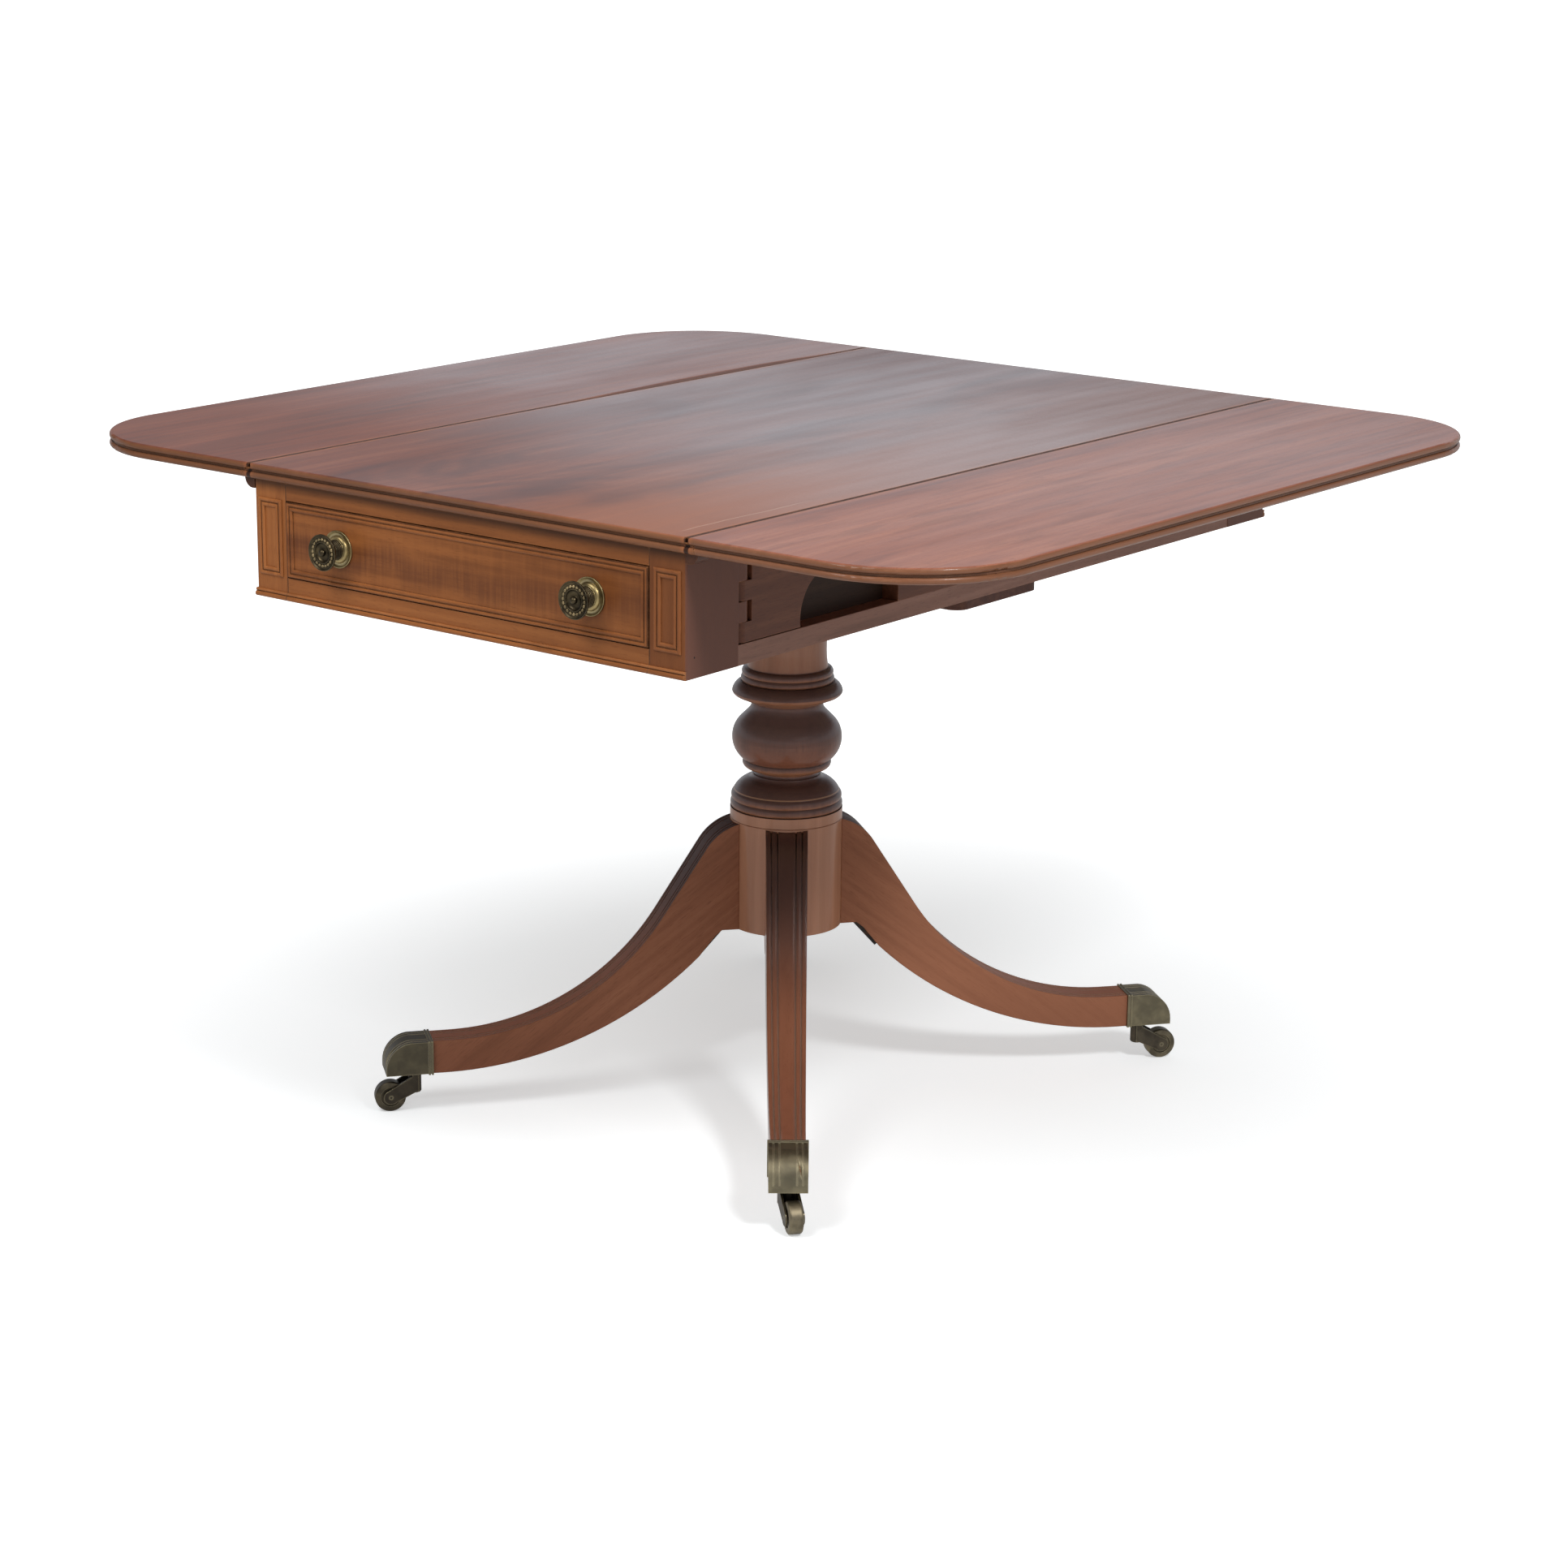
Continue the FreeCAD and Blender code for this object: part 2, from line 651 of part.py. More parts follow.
boss_arc = side_arc(boss_middle, knob_boss_radius, 90 - knob_boss_turn, 90)
boss_foot = side_arc(boss_middle, knob_boss_radius, 90, 90 - knob_boss_turn)[1]
knob_items.append((from_shares(knob_recess_share, knob_radius, plate_depth, knob_reach), boss_foot))
knob_items.append(boss_arc)
nut = Part.makeCylinder(nut_radius, nut_depth, at(0, 0, -front_thickness - nut_depth))
nut = nut.cut(rod(at(0, 0, -front_thickness - nut_depth), at(0, 0, 0), knob_bolt_radius))


def on_front(shape, x):
    laid = shape.copy()
    laid.rotate(at(0, 0, 0), at(1, 0, 0), 90)
    laid.translate(at(x, -frieze_y, knob_z))
    return laid


knobs = [on_front(turned(knob_items), x) for x in (-knob_x, knob_x)]
plates = [on_front(turned(plate_items), x) for x in (-knob_x, knob_x)]
nuts = [on_front(nut, x) for x in (-knob_x, knob_x)]
save("drawer_knobs", *(knobs + nuts))
save("drawer_knob_plates", *plates)
save("dummy_knobs", *[flip_y(brass) for brass in knobs + nuts])
save("dummy_knob_plates", *[flip_y(brass) for brass in plates])

# Drawer: sides dovetailed into the front, the bottom held in grooves
front_board = box(-drawer_x, drawer_x, -frieze_y, front_thickness - frieze_y, drawer_low, drawer_high)
front_beads = bead_frame(-drawer_x, drawer_x, drawer_low, drawer_high)
side_high = drawer_high - drawer_side_top_drop
front_in_y = front_thickness - frieze_y
side = box(drawer_in_x, drawer_side_x, front_in_y, drawer_back_y, drawer_low, side_high)
tail_pitch = (side_high - drawer_low) / tail_count
tails = []
for tail in range(tail_count):
    middle = drawer_low + (tail + 0.5) * tail_pitch
    root = tail_pitch * tail_root_share / 2
    end = tail_pitch * tail_end_share / 2
    tails.append(outline([
        at(drawer_in_x, front_in_y, middle - root),
        at(drawer_in_x, front_in_y, middle + root),
        at(drawer_in_x, front_in_y - tail_length, middle + end),
        at(drawer_in_x, front_in_y - tail_length, middle - end),
    ]).extrude(at(drawer_side_thickness, 0, 0)))
side = side.fuse(tails).removeSplitter()
bottom_low = drawer_low + drawer_bottom_rise
bottom_high = bottom_low + drawer_bottom_thickness
bottom = box(-drawer_in_x - drawer_groove_depth, drawer_in_x + drawer_groove_depth,
             front_in_y - drawer_groove_depth, drawer_back_y, bottom_low, bottom_high)
back = box(-drawer_in_x, drawer_in_x, drawer_back_y - drawer_back_thickness, drawer_back_y,
           bottom_high, side_high)
side = side.cut(bottom)
front_board = front_board.cut(tails + [flip_x(tail) for tail in tails] + [bottom] + knobs)
save("drawer_front", front_board, front_beads)
save("drawer_right_side", side)
save("drawer_left_side", flip_x(side))
save("drawer_back", back)
save("drawer_bottom", bottom)

dummy_board = box(-post_in_x, post_in_x, -frieze_y, front_thickness - frieze_y, opening_bottom, opening_top)
dummy_beads = bead_frame(-drawer_x, drawer_x, drawer_low, drawer_high)
save("dummy_front", flip_y(dummy_board.cut(knobs)), flip_y(dummy_beads))

# Drawer runners with their guides, and the kickers above the drawer sides
runner_y = frieze_y - bottom_rail_thickness
runner = box(rail_in_x - runner_width, rail_in_x, -runner_y, runner_y, runner_bottom, runner_top)
runner = runner.cut(box(post_in_x, frieze_x, -frieze_y, -post_in_y, frieze_bottom, underside))
runner = runner.cut(box(post_in_x, frieze_x, post_in_y, frieze_y, frieze_bottom, underside))
guide = box(rail_in_x - guide_width, rail_in_x, -post_in_y, post_in_y, runner_top, runner_top + guide_height)
runner = runner.fuse(guide).removeSplitter()
save("right_drawer_runner", runner)
save("left_drawer_runner", flip_x(runner))
kicker = box(rail_in_x - kicker_width, rail_in_x, -post_in_y, post_in_y, side_high + kicker_gap, underside)
save("drawer_kickers", kicker, flip_x(kicker))

# Pillar block: lapped under the side rails and screwed up into them
block_x = frieze_x - block_end_inset
block_y = block_width / 2
lap = box(-block_x, block_x, -block_y, block_y, block_bottom, frieze_bottom)
upright_edges = [edge for edge in lap.Edges if edge.BoundBox.ZLength > flat_tolerance]
lap = lap.makeFillet(block_corner_radius, upright_edges)
block = lap.fuse(box(-rail_in_x, rail_in_x, -block_y, block_y, frieze_bottom, block_top))
block_screws = []
for y in (-block_screw_spacing / 2, block_screw_spacing / 2):
    tip = at((rail_in_x + rail_out_x) / 2, y, block_bottom + block_screw_length)
    block_screw = screw(tip, at(0, 0, -1), block_screw_length, block_screw_radius,
                        block_screw_head_radius, block_screw_head_depth)
    block_screws += [block_screw, flip_x(block_screw)]
column_tenon = rod(at(0, 0, block_bottom), at(0, 0, block_top), column_tenon_radius)
save("pillar_block", block.cut(block_screws + [column_tenon]).removeSplitter())
save("pillar_block_screws", *block_screws)

inner_rail = inner_rail.cut(block_screws)
save("right_inner_rail", inner_rail)
save("left_inner_rail", flip_x(inner_rail))
save("right_lower_strip", strip)
save("left_lower_strip", flip_x(strip))
save("right_side_filler", filler)
save("left_side_filler", flip_x(filler))

# Sabre leg along plus X, before it is turned to its place round the column
leg_run = cap_start - column_radius


def leg_point(shares, low, high):
    return at(column_radius + leg_run * shares[0], 0, low + (high - low) * shares[1])


tops = [leg_point(shares, cap_top, leg_root_top) for shares in leg_top_shares]
bottoms = [leg_point(shares, cap_bottom, drum_bottom) for shares in leg_bottom_shares]
root_u = column_radius - leg_bed
toe_u = cap_start + cap_length - cap_wall
quirk_drop = at(0, 0, -leg_quirk_depth)
top_run = [
    at(root_u, 0, leg_root_top),
    (tops[0], tops[1]),
    tops[2],
    (tops[3], tops[4]),
    at(cap_start, 0, cap_top),
]


def full_width(face):
    solid = face.extrude(at(0, leg_root_width, 0))
    solid.translate(at(0, -leg_root_width / 2, 0))
    return solid


def plan_taper(root_low, root_high, toe_low, toe_high):
    """Plan strip between two lines that run from inside the column to the cap."""
    plan = outline([
        at(root_u, root_low, 0),
        at(cap_start, toe_low, 0),
        at(cap_start, toe_high, 0),
        at(root_u, root_high, 0),
    ])
    return plan.extrude(at(0, 0, table_height))


leg = full_width(outline(top_run + [
    at(cap_start, 0, cap_bottom),
    bottoms[4],
    (bottoms[3], bottoms[2]),
    bottoms[1],
    bottoms[0],
    at(root_u, 0, drum_bottom),
]))
under_run = [
    at(cap_start, 0, cap_top - leg_quirk_depth),
    tops[4].add(quirk_drop),
    (tops[3].add(quirk_drop), tops[2].add(quirk_drop)),
    tops[1].add(quirk_drop),
    (tops[0].add(quirk_drop), at(root_u, 0, leg_root_top - leg_quirk_depth)),
]
quirk_band = full_width(outline(top_run + under_run))
root_half = leg_root_width / 2
toe_half = leg_toe_width / 2
leg = leg.common(plan_taper(-root_half, root_half, -toe_half, toe_half))
half_quirk = leg_quirk_width / 2
for share in leg_quirk_shares:
    groove = quirk_band.common(plan_taper(
        root_half * share - half_quirk, root_half * share + half_quirk,
        toe_half * share - half_quirk, toe_half * share + half_quirk))
    leg = leg.cut([groove, flip_y(groove)])
drum = rod(at(0, 0, 0), at(0, 0, table_height), column_radius)
leg = leg.cut(drum)

dovetail_in = column_radius - dovetail_depth
dovetail = outline([
    at(column_radius, -dovetail_root_width / 2, drum_bottom),
    at(column_radius, dovetail_root_width / 2, drum_bottom),
    at(dovetail_in, dovetail_end_width / 2, drum_bottom),
    at(dovetail_in, -dovetail_end_width / 2, drum_bottom),
]).extrude(at(0, 0, leg_root_top - dovetail_top_drop - drum_bottom))
leg = leg.fuse(dovetail)


def toe_shape(inset, start):
    """Toe of the leg or of its cap, from start to the rounded end."""
    u1 = cap_start + cap_length - inset
    low = cap_bottom + inset
    high = cap_top - inset
    bend_u = u1 - cap_toe_length
    toe_high = low + cap_toe_rise
    half = toe_half + cap_wall - inset
    face = outline([
        at(start, 0, low),
        at(u1, 0, low),
        at(u1, 0, toe_high),
        (at(bend_u + cap_toe_length * cap_toe_mid_shares[0], 0,
            toe_high + (high - toe_high) * cap_toe_mid_shares[1]), at(bend_u, 0, high)),
        at(start, 0, high),
    ]).extrude(at(0, 2 * half, 0))
    face.translate(at(0, -half, 0))
    return face


# Brass cap with its collar, over the toe of the leg, and the room for the castor's pintle
inside = toe_shape(cap_wall, cap_start)
ridges = []
for ridge in range(collar_ridge_count):
    ridge_u = cap_start + ridge * (collar_ridge_length + collar_ridge_gap)
    ridges.append(box(ridge_u, ridge_u + collar_ridge_length, -toe_half - cap_wall - collar_raise,
                      toe_half + cap_wall + collar_raise, cap_bottom - collar_raise, cap_top + collar_raise))
body = toe_shape(0, cap_start)
skin = body.cut(toe_shape(cap_quirk_depth, cap_start))
skin_low = cap_bottom + cap_toe_rise + 2 * cap_quirk_depth
for share in leg_quirk_shares:
    quirk_y = (toe_half + cap_wall) * share
    cap_groove = skin.common(box(cap_start, cap_start + cap_length, quirk_y - half_quirk,
                                 quirk_y + half_quirk, skin_low, cap_top))
    body = body.cut([cap_groove, flip_y(cap_groove)])
head_low = cap_bottom + cap_wall
pintle_space = rod(at(pintle_u, 0, head_low), at(pintle_u, 0, head_low + pintle_head_depth + 2 * pintle_room),
                   pintle_head_radius + pintle_room)
pintle_bore = rod(at(pintle_u, 0, cap_bottom - cut_overrun), at(pintle_u, 0, head_low),
                  pintle_radius + pin_play)
cap = body.fuse(ridges).cut([inside, pintle_bore]).removeSplitter()
leg = leg.fuse(inside).cut(pintle_space).removeSplitter()

# Castor fork with its pintle and axle
flange_top = cap_bottom - flange_gap
flange_bottom = flange_top - flange_thickness
barrel = rod(at(pintle_u, 0, barrel_bottom), at(pintle_u, 0, flange_bottom), barrel_radius)
barrel = barrel.makeFillet(barrel_round, [edge for edge in barrel.Edges
                                          if edge.BoundBox.ZMax < barrel_bottom + flat_tolerance])
fork = barrel.fuse(rod(at(pintle_u, 0, flange_bottom), at(pintle_u, 0, flange_top), flange_radius))
cheek_in = wheel_width / 2 + cheek_gap
cheek_out = cheek_in + cheek_thickness
cheek_low = barrel_bottom + barrel_round
cheek_corner = cheek_end_radius * cheek_corner_share
cheek = outline([
    at(pintle_u, 0, cheek_low),
    at(axle_u - cheek_corner, 0, wheel_radius - cheek_corner),
    (at(axle_u + cheek_corner, 0, wheel_radius - cheek_corner),
     at(axle_u + cheek_corner, 0, wheel_radius + cheek_corner)),
    at(pintle_u, 0, flange_bottom),
]).extrude(at(0, cheek_thickness, 0))
cheek.translate(at(0, cheek_in, 0))
bridge = box(pintle_u - barrel_radius / 2, pintle_u + barrel_radius / 2, -cheek_out, cheek_out,
             cheek_low, flange_bottom)
fork = fork.fuse([cheek, flip_y(cheek), bridge])
axle = rod(at(axle_u, -cheek_out, wheel_radius), at(axle_u, cheek_out, wheel_radius), axle_radius)
fork = fork.cut(axle).removeSplitter()
pintle = rod(at(pintle_u, 0, flange_top), at(pintle_u, 0, head_low + pintle_room), pintle_radius)
pintle = pintle.fuse(rod(at(pintle_u, 0, head_low + pintle_room),
                         at(pintle_u, 0, head_low + pintle_room + pintle_head_depth), pintle_head_radius))
pintle = pintle.removeSplitter()

# Castor wheel, turned about its own axle
wheel_half = wheel_width / 2
recess_radius = wheel_radius * hub_recess_share
bend = wheel_round * (1 - math.cos(math.radians(45)))
wheel = turned([
    at(axle_radius + pin_play, 0, hub_recess - wheel_half),
    at(recess_radius, 0, hub_recess - wheel_half),
    at(recess_radius, 0, -wheel_half),
    at(wheel_radius - wheel_round, 0, -wheel_half),
    (at(wheel_radius - bend, 0, bend - wheel_half), at(wheel_radius, 0, wheel_round - wheel_half)),
    at(wheel_radius, 0, wheel_half - wheel_round),
    (at(wheel_radius - bend, 0, wheel_half - bend), at(wheel_radius - wheel_round, 0, wheel_half)),
    at(recess_radius, 0, wheel_half),
    at(recess_radius, 0, wheel_half - hub_recess),
    at(axle_radius + pin_play, 0, wheel_half - hub_recess),
])
wheel.rotate(at(0, 0, 0), at(1, 0, 0), 90)
wheel.translate(at(axle_u, 0, wheel_radius))

# Iron spider: straps that follow the root of each leg's underside
strap_fall = bottoms[1].sub(bottoms[2])
strap_slant = strap_thickness / strap_fall.Length
strap_shift = at(strap_fall.z * strap_slant, 0, -strap_fall.x * strap_slant).multiply(-1)
strap_low = drum_bottom - strap_thickness
strap = outline([
    at(0, 0, drum_bottom),
    bottoms[0],
    bottoms[1],
    bottoms[2],
    bottoms[2].add(strap_shift),
    at(bottoms[0].x - strap_thickness / 2, 0, strap_low),
    at(0, 0, strap_low),
]).extrude(at(0, strap_width, 0))
strap.translate(at(0, -strap_width / 2, 0))
strap_screw_u = column_radius * spider_screw_share + (bottoms[0].x - column_radius) / 2
strap_screw = screw(at(strap_screw_u, 0, strap_low + spider_screw_length), at(0, 0, -1), spider_screw_length,
                    spider_screw_radius, spider_screw_head_radius, spider_screw_head_depth)

# Legs, caps and castors, each turned to its own corner
corners = {
    "front_right": (leg_angle - 90, front_right_heading),
    "front_left": (-leg_angle - 90, 0),
    "back_right": (90 - leg_angle, 0),
    "back_left": (90 + leg_angle, 0),
}


def castor_turn(shape, angle, heading):
    """Castor piece turned on its pintle, then taken to its corner."""
    headed = shape.copy()
    headed.rotate(at(pintle_u, 0, 0), at(0, 0, 1), heading)
    return turn_z(headed, angle)


spider = rod(at(0, 0, strap_low), at(0, 0, drum_bottom), spider_radius)
caps = []
strap_screws = []
dovetails = []
for corner, (angle, heading) in corners.items():
    screw_here = turn_z(strap_screw, angle)
    save(corner + "_leg", turn_z(leg, angle).cut(screw_here))
    fork_pieces = [castor_turn(shape, angle, heading) for shape in (fork, pintle, axle)]
    save(corner + "_castor_fork", *fork_pieces)
    save(corner + "_castor_wheel", castor_turn(wheel, angle, heading))
    caps.append(turn_z(cap, angle))
    strap_screws.append(screw_here)
    dovetails.append(turn_z(dovetail, angle))
    spider = spider.fuse(turn_z(strap, angle))
save("toe_caps", *caps)
save("leg_spider", spider.cut(strap_screws).removeSplitter())
save("spider_screws", *strap_screws)


# Turned column, with sockets for the legs' dovetails and a tenon into the pillar block
column_items = [
    at(0, 0, drum_bottom),
    at(column_radius, 0, drum_bottom),
    at(column_radius, 0, leg_line - line_depth),
    at(column_radius - line_depth, 0, leg_line),
    at(column_radius, 0, leg_line + line_depth),
]
for shares in (drum_top_shares + drum_reed_shares + dome_shares + low_neck_shares + ring_shares
               + bulb_shares + torus_shares + neck_reed_shares + neck_shares):
    column_items.append(from_shares(shares, column_radius, leg_line, block_bottom))
column = turned(column_items + [
    at(column_tenon_radius, 0, block_bottom),
    at(column_tenon_radius, 0, block_top),
    at(0, 0, block_top),
])
save("column", column.cut(dovetails).removeSplitter())
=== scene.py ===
import math

import bpy
from mathutils import Matrix, Vector


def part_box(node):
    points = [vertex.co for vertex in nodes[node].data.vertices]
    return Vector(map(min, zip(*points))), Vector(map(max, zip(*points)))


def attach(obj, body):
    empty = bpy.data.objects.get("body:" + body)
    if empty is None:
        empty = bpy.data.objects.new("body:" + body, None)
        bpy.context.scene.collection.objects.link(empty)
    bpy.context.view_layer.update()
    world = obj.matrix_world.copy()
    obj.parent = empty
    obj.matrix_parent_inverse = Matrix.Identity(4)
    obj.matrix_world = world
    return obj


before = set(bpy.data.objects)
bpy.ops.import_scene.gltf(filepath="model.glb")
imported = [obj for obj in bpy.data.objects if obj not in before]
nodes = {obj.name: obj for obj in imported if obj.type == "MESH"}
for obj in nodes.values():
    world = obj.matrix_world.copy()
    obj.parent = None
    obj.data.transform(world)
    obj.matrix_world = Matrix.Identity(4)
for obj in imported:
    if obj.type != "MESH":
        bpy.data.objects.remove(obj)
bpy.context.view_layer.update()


# Column. One length of mahogany turned on the lathe, so its grain stands upright, stained dark and
# polished. Dirt and old polish fill the quirks between the reeds, and the proud edges have worn to a
# lighter orange.
class Tone:
    """A socket in a node tree, so that shader maths reads as plain sums."""

    def __init__(self, tree, socket=None):
        self.tree = tree
        self.socket = socket

    def node(self, kind, settings, inputs, output=0):
        """Adds a node, sets it up, feeds its sockets, and gives one of its outputs."""
        new = self.tree.nodes.new(kind)
        for name, value in settings.items():
            setattr(new, name, value)
        for name, value in inputs.items():
            if isinstance(value, Tone):
                self.tree.links.new(value.socket, new.inputs[name])
            else:
                new.inputs[name].default_value = value
        return Tone(self.tree, new.outputs[output])

    def math(self, operation, first, second=0.0):
        return self.node("ShaderNodeMath", {"operation": operation}, {0: first, 1: second})

    def __add__(self, other):
        return self.math("ADD", self, other)

    def __radd__(self, other):
        return self.math("ADD", other, self)

    def __sub__(self, other):
        return self.math("SUBTRACT", self, other)

    def __rsub__(self, other):
        return self.math("SUBTRACT", other, self)

    def __mul__(self, other):
        return self.math("MULTIPLY", self, other)

    def __rmul__(self, other):
        return self.math("MULTIPLY", other, self)

    def __abs__(self):
        return self.math("ABSOLUTE", self)

    def step(self, low, high):
        """Rises smoothly from 0 to 1 as the value goes from low to high."""
        return self.node("ShaderNodeMapRange", {"interpolation_type": "SMOOTHSTEP"},
                         {"Value": self, "From Min": low, "From Max": high})

    def blend(self, first, second):
        """The first colour where this value is 0, and the second where it is 1."""
        def colour(value):
            return (*value, 1) if isinstance(value, tuple) else value
        return self.node("ShaderNodeMix", {"data_type": "RGBA", "clamp_factor": True},
                         {0: self, 6: colour(first), 7: colour(second)}, 2)

    def parts(self):
        """The X, Y and Z of a vector."""
        split = self.node("ShaderNodeSeparateXYZ", {}, {0: self}).socket.node
        return [Tone(self.tree, socket) for socket in split.outputs]

    def noise(self, scale, stretch=(1, 1, 1), detail=2.0, warp=0.0):
        """Soft noise over this vector, from 0 to 1. A smaller stretch draws it out along that axis."""
        drawn = self.node("ShaderNodeMapping", {}, {"Vector": self, "Scale": stretch})
        return self.node("ShaderNodeTexNoise", {},
                         {"Vector": drawn, "Scale": scale, "Detail": detail, "Distortion": warp})

    def hidden(self, reach, inside=False):
        """How far the surface is shut in within a reach: 0 on a flat face and more in a quirk. Measured
        inside the piece, it is more at an arris instead."""
        seen = self.node("ShaderNodeAmbientOcclusion",
                         {"samples": 6, "inside": inside, "only_local": True},
                         {"Distance": reach}, "AO")
        return 1 - seen


def new_finish(name):
    """An empty material, with its shader and the piece's own coordinates."""
    finish = bpy.data.materials.new(name)
    finish.use_nodes = True
    shader = finish.node_tree.nodes["Principled BSDF"]
    place = Tone(finish.node_tree).node("ShaderNodeTexCoord", {}, {}, "Object")
    return finish, shader, place


def feed(shader, values):
    """Links tones to the shader's sockets, and sets plain numbers on them."""
    for name, value in values.items():
        if isinstance(value, Tone):
            value.tree.links.new(value.socket, shader.inputs[name])
        else:
            shader.inputs[name].default_value = value


def coat(finish, *names):
    """Puts a finish on CAD pieces."""
    for name in names:
        nodes[name].data.materials.clear()
        nodes[name].data.materials.append(finish)


worn_orange = (0.38, 0.15, 0.056)
black_wax = (0.01, 0.006, 0.005)


def mahogany(name, grain, colours, polish, tint=None, ripple=0.0, bands=0.45, dirt=0.85, wear=0.5,
             rough=0.4, sheen=0.15, reach=0.004, soft=0.0008, fill=black_wax):
    """Mahogany: bands and streaks along the grain, short dark pores, worn arrises, dirt in the quirks and
    old polish. The tint shades it from place to place, reach is how wide wear and dirt spread, and soft
    is how round the arrises look."""
    dark, body, light = colours
    streaks = 0.35
    finish, shader, place = new_finish(name)
    along = grain(place)
    band = along.noise(scale=10, stretch=(1, 1, 0.12), detail=3, warp=0.6).step(0.32, 0.68)
    streak = along.noise(scale=130, stretch=(1, 1, 0.05), detail=4)
    pore = along.noise(scale=900, stretch=(1, 1, 0.09), detail=1).step(0.57, 0.7)
    cross = along.noise(scale=260, stretch=(0.05, 0.05, 1))
    tone = (band - 0.5) * bands + streak.step(0.3, 0.7) * streaks + (0.5 - streaks / 2)
    tone = tone + (cross - 0.5) * ripple
    colour = tone.step(0.0, 0.55).blend(dark, body)
    colour = tone.step(0.5, 1.0).blend(colour, light)
    colour = (pore * 0.45).blend(colour, dark)
    if tint:
        colour = tint(place, colour)
    patchy = place.noise(scale=60, detail=3).step(0.35, 0.65)
    arris = place.hidden(reach * 0.6, inside=True).step(0.3, 0.6) * (patchy * 0.6 + 0.4)
    colour = (arris * wear).blend(colour, worn_orange)
    quirk = place.hidden(reach).step(0.2, 0.6)
    colour = (quirk * dirt).blend(colour, fill(place) if callable(fill) else fill)
    height = streak * 0.3 - pore * 0.5
    rounded = place.node("ShaderNodeBevel", {"samples": 4}, {"Radius": soft})
    bump = place.node("ShaderNodeBump", {},
                      {"Height": height, "Normal": rounded, "Strength": 0.06, "Distance": 0.0004})
    film = polish(place) if callable(polish) else polish
    feed(shader, {
        "Base Color": colour,
        "Roughness": rough + streak * 0.06 + quirk * 0.2,
        "Normal": bump,
        "Specular IOR Level": sheen,
        "Coat Weight": film - quirk * 0.2,
        "Coat Roughness": 0.15,
    })
    return finish


def upright(place):
    """Grain that stands upright, as the coordinates do."""
    return place


def upper_face(place, low, high):
    """How far a face looks up, from 0 to 1."""
    return place.node("ShaderNodeTexCoord", {}, {}, "Normal").parts()[2].step(low, high)


drum_top = 0.3145
dome_foot = 0.3336
bulb_foot = 0.367
bulb_top = 0.429
neck_foot = 0.4675
soft_edge = 0.001
column_colours = ((0.1, 0.036, 0.021), (0.172, 0.062, 0.035), (0.25, 0.094, 0.048))
plain_streaks = ((0.42, 0.185, 0.1), (0.5, 0.235, 0.135))
drum_streaks = ((0.58, 0.27, 0.145), (0.7, 0.345, 0.2))
dust_and_painted_shade = (0.092, 0.054, 0.048)
bulb_dust_and_painted_shade = (0.125, 0.083, 0.077)
painted_floor_light_reeds = (0.33, 0.13, 0.056)
painted_floor_light_bulb = (0.22, 0.075, 0.038)
pale_line = (0.42, 0.23, 0.13)


def above(z, height):
    """0 below a height on the column and 1 above it."""
    return z.step(height - soft_edge, height + soft_edge)


def turned_shades(place, colour):
    """The drum and the neck are plain streaky brown. The turnings between are dark where they look up,
    with dust and painted shade from the table top above them. Where they look down they are painted
    lighter, as painted light from the floor: their reeds orange and the bulb redder. A pale line runs
    round the foot of the dome."""
    z = place.parts()[2]
    streak = place.noise(scale=90, stretch=(1, 1, 0.05), detail=4).step(0.3, 0.7)
    drum = 1 - above(z, drum_top)
    plain = drum + above(z, neck_foot)
    colour = (plain * 0.5).blend(colour, streak.blend(*plain_streaks))
    colour = (drum * 0.25).blend(colour, streak.blend(*drum_streaks))
    turned = 1 - plain
    bulb = above(z, bulb_foot) * (1 - above(z, bulb_top))
    dust_and_shade = bulb.blend(dust_and_painted_shade, bulb_dust_and_painted_shade)
    # Painted shade, with some dust: the turnings are darkened where they look up under the table top.
    colour = (turned * upper_face(place, -0.15, 0.45) * 0.8).blend(colour, dust_and_shade)
    # Painted light: faces that look down are painted lighter orange and red, as light from the floor.
    below = turned * (1 - upper_face(place, -0.5, 0.0))
    colour = (below * 0.6).blend(colour, bulb.blend(painted_floor_light_reeds, painted_floor_light_bulb))
    rim = 1 - abs(z - dome_foot).step(0.0003, 0.0009)
    return (rim * 0.7).blend(colour, pale_line)


coat(mahogany("column_mahogany", upright, column_colours, polish=0.4, tint=turned_shades), "column")

# Legs. Four sabre legs sawn from plank, so the grain runs straight down the slope of each leg while the
# leg curves away from it. Each is slid up into the column on a dovetail, and two quirks leave beads along
# each top edge.
leg_turn = math.radians(51.2)
leg_slope = math.radians(38)
toe_heights = (0.05, 0.13)
root_heights = (0.13, 0.26)
wax_heights = (0.12, 0.24)
leg_colours = ((0.18, 0.073, 0.041), (0.29, 0.118, 0.066), (0.37, 0.157, 0.088))
dark_toe = (0.13, 0.045, 0.026)
painted_light_plank = (0.52, 0.22, 0.125)
red_top = (0.19, 0.064, 0.034)
black_polish_and_painted_shade = (0.06, 0.03, 0.025)
pale_dust = (0.3, 0.2, 0.15)


def down_the_leg(place):
    """Grain along each leg: coordinates across it, through it and down its slope, shifted from leg to leg
    so that each is a plank of its own."""
    x, y, z = place.parts()
    out = abs(x) * math.cos(leg_turn) + abs(y) * math.sin(leg_turn)
    across = abs(x) * math.sin(leg_turn) - abs(y) * math.cos(leg_turn)
    through = out * math.sin(leg_slope) + z * math.cos(leg_slope)
    down = out * math.cos(leg_slope) - z * math.sin(leg_slope)
    shift = x.step(-0.01, 0.01) * 3 + y.step(-0.01, 0.01) * 7
    return place.node("ShaderNodeCombineXYZ", {}, {0: across + shift, 1: through, 2: down})


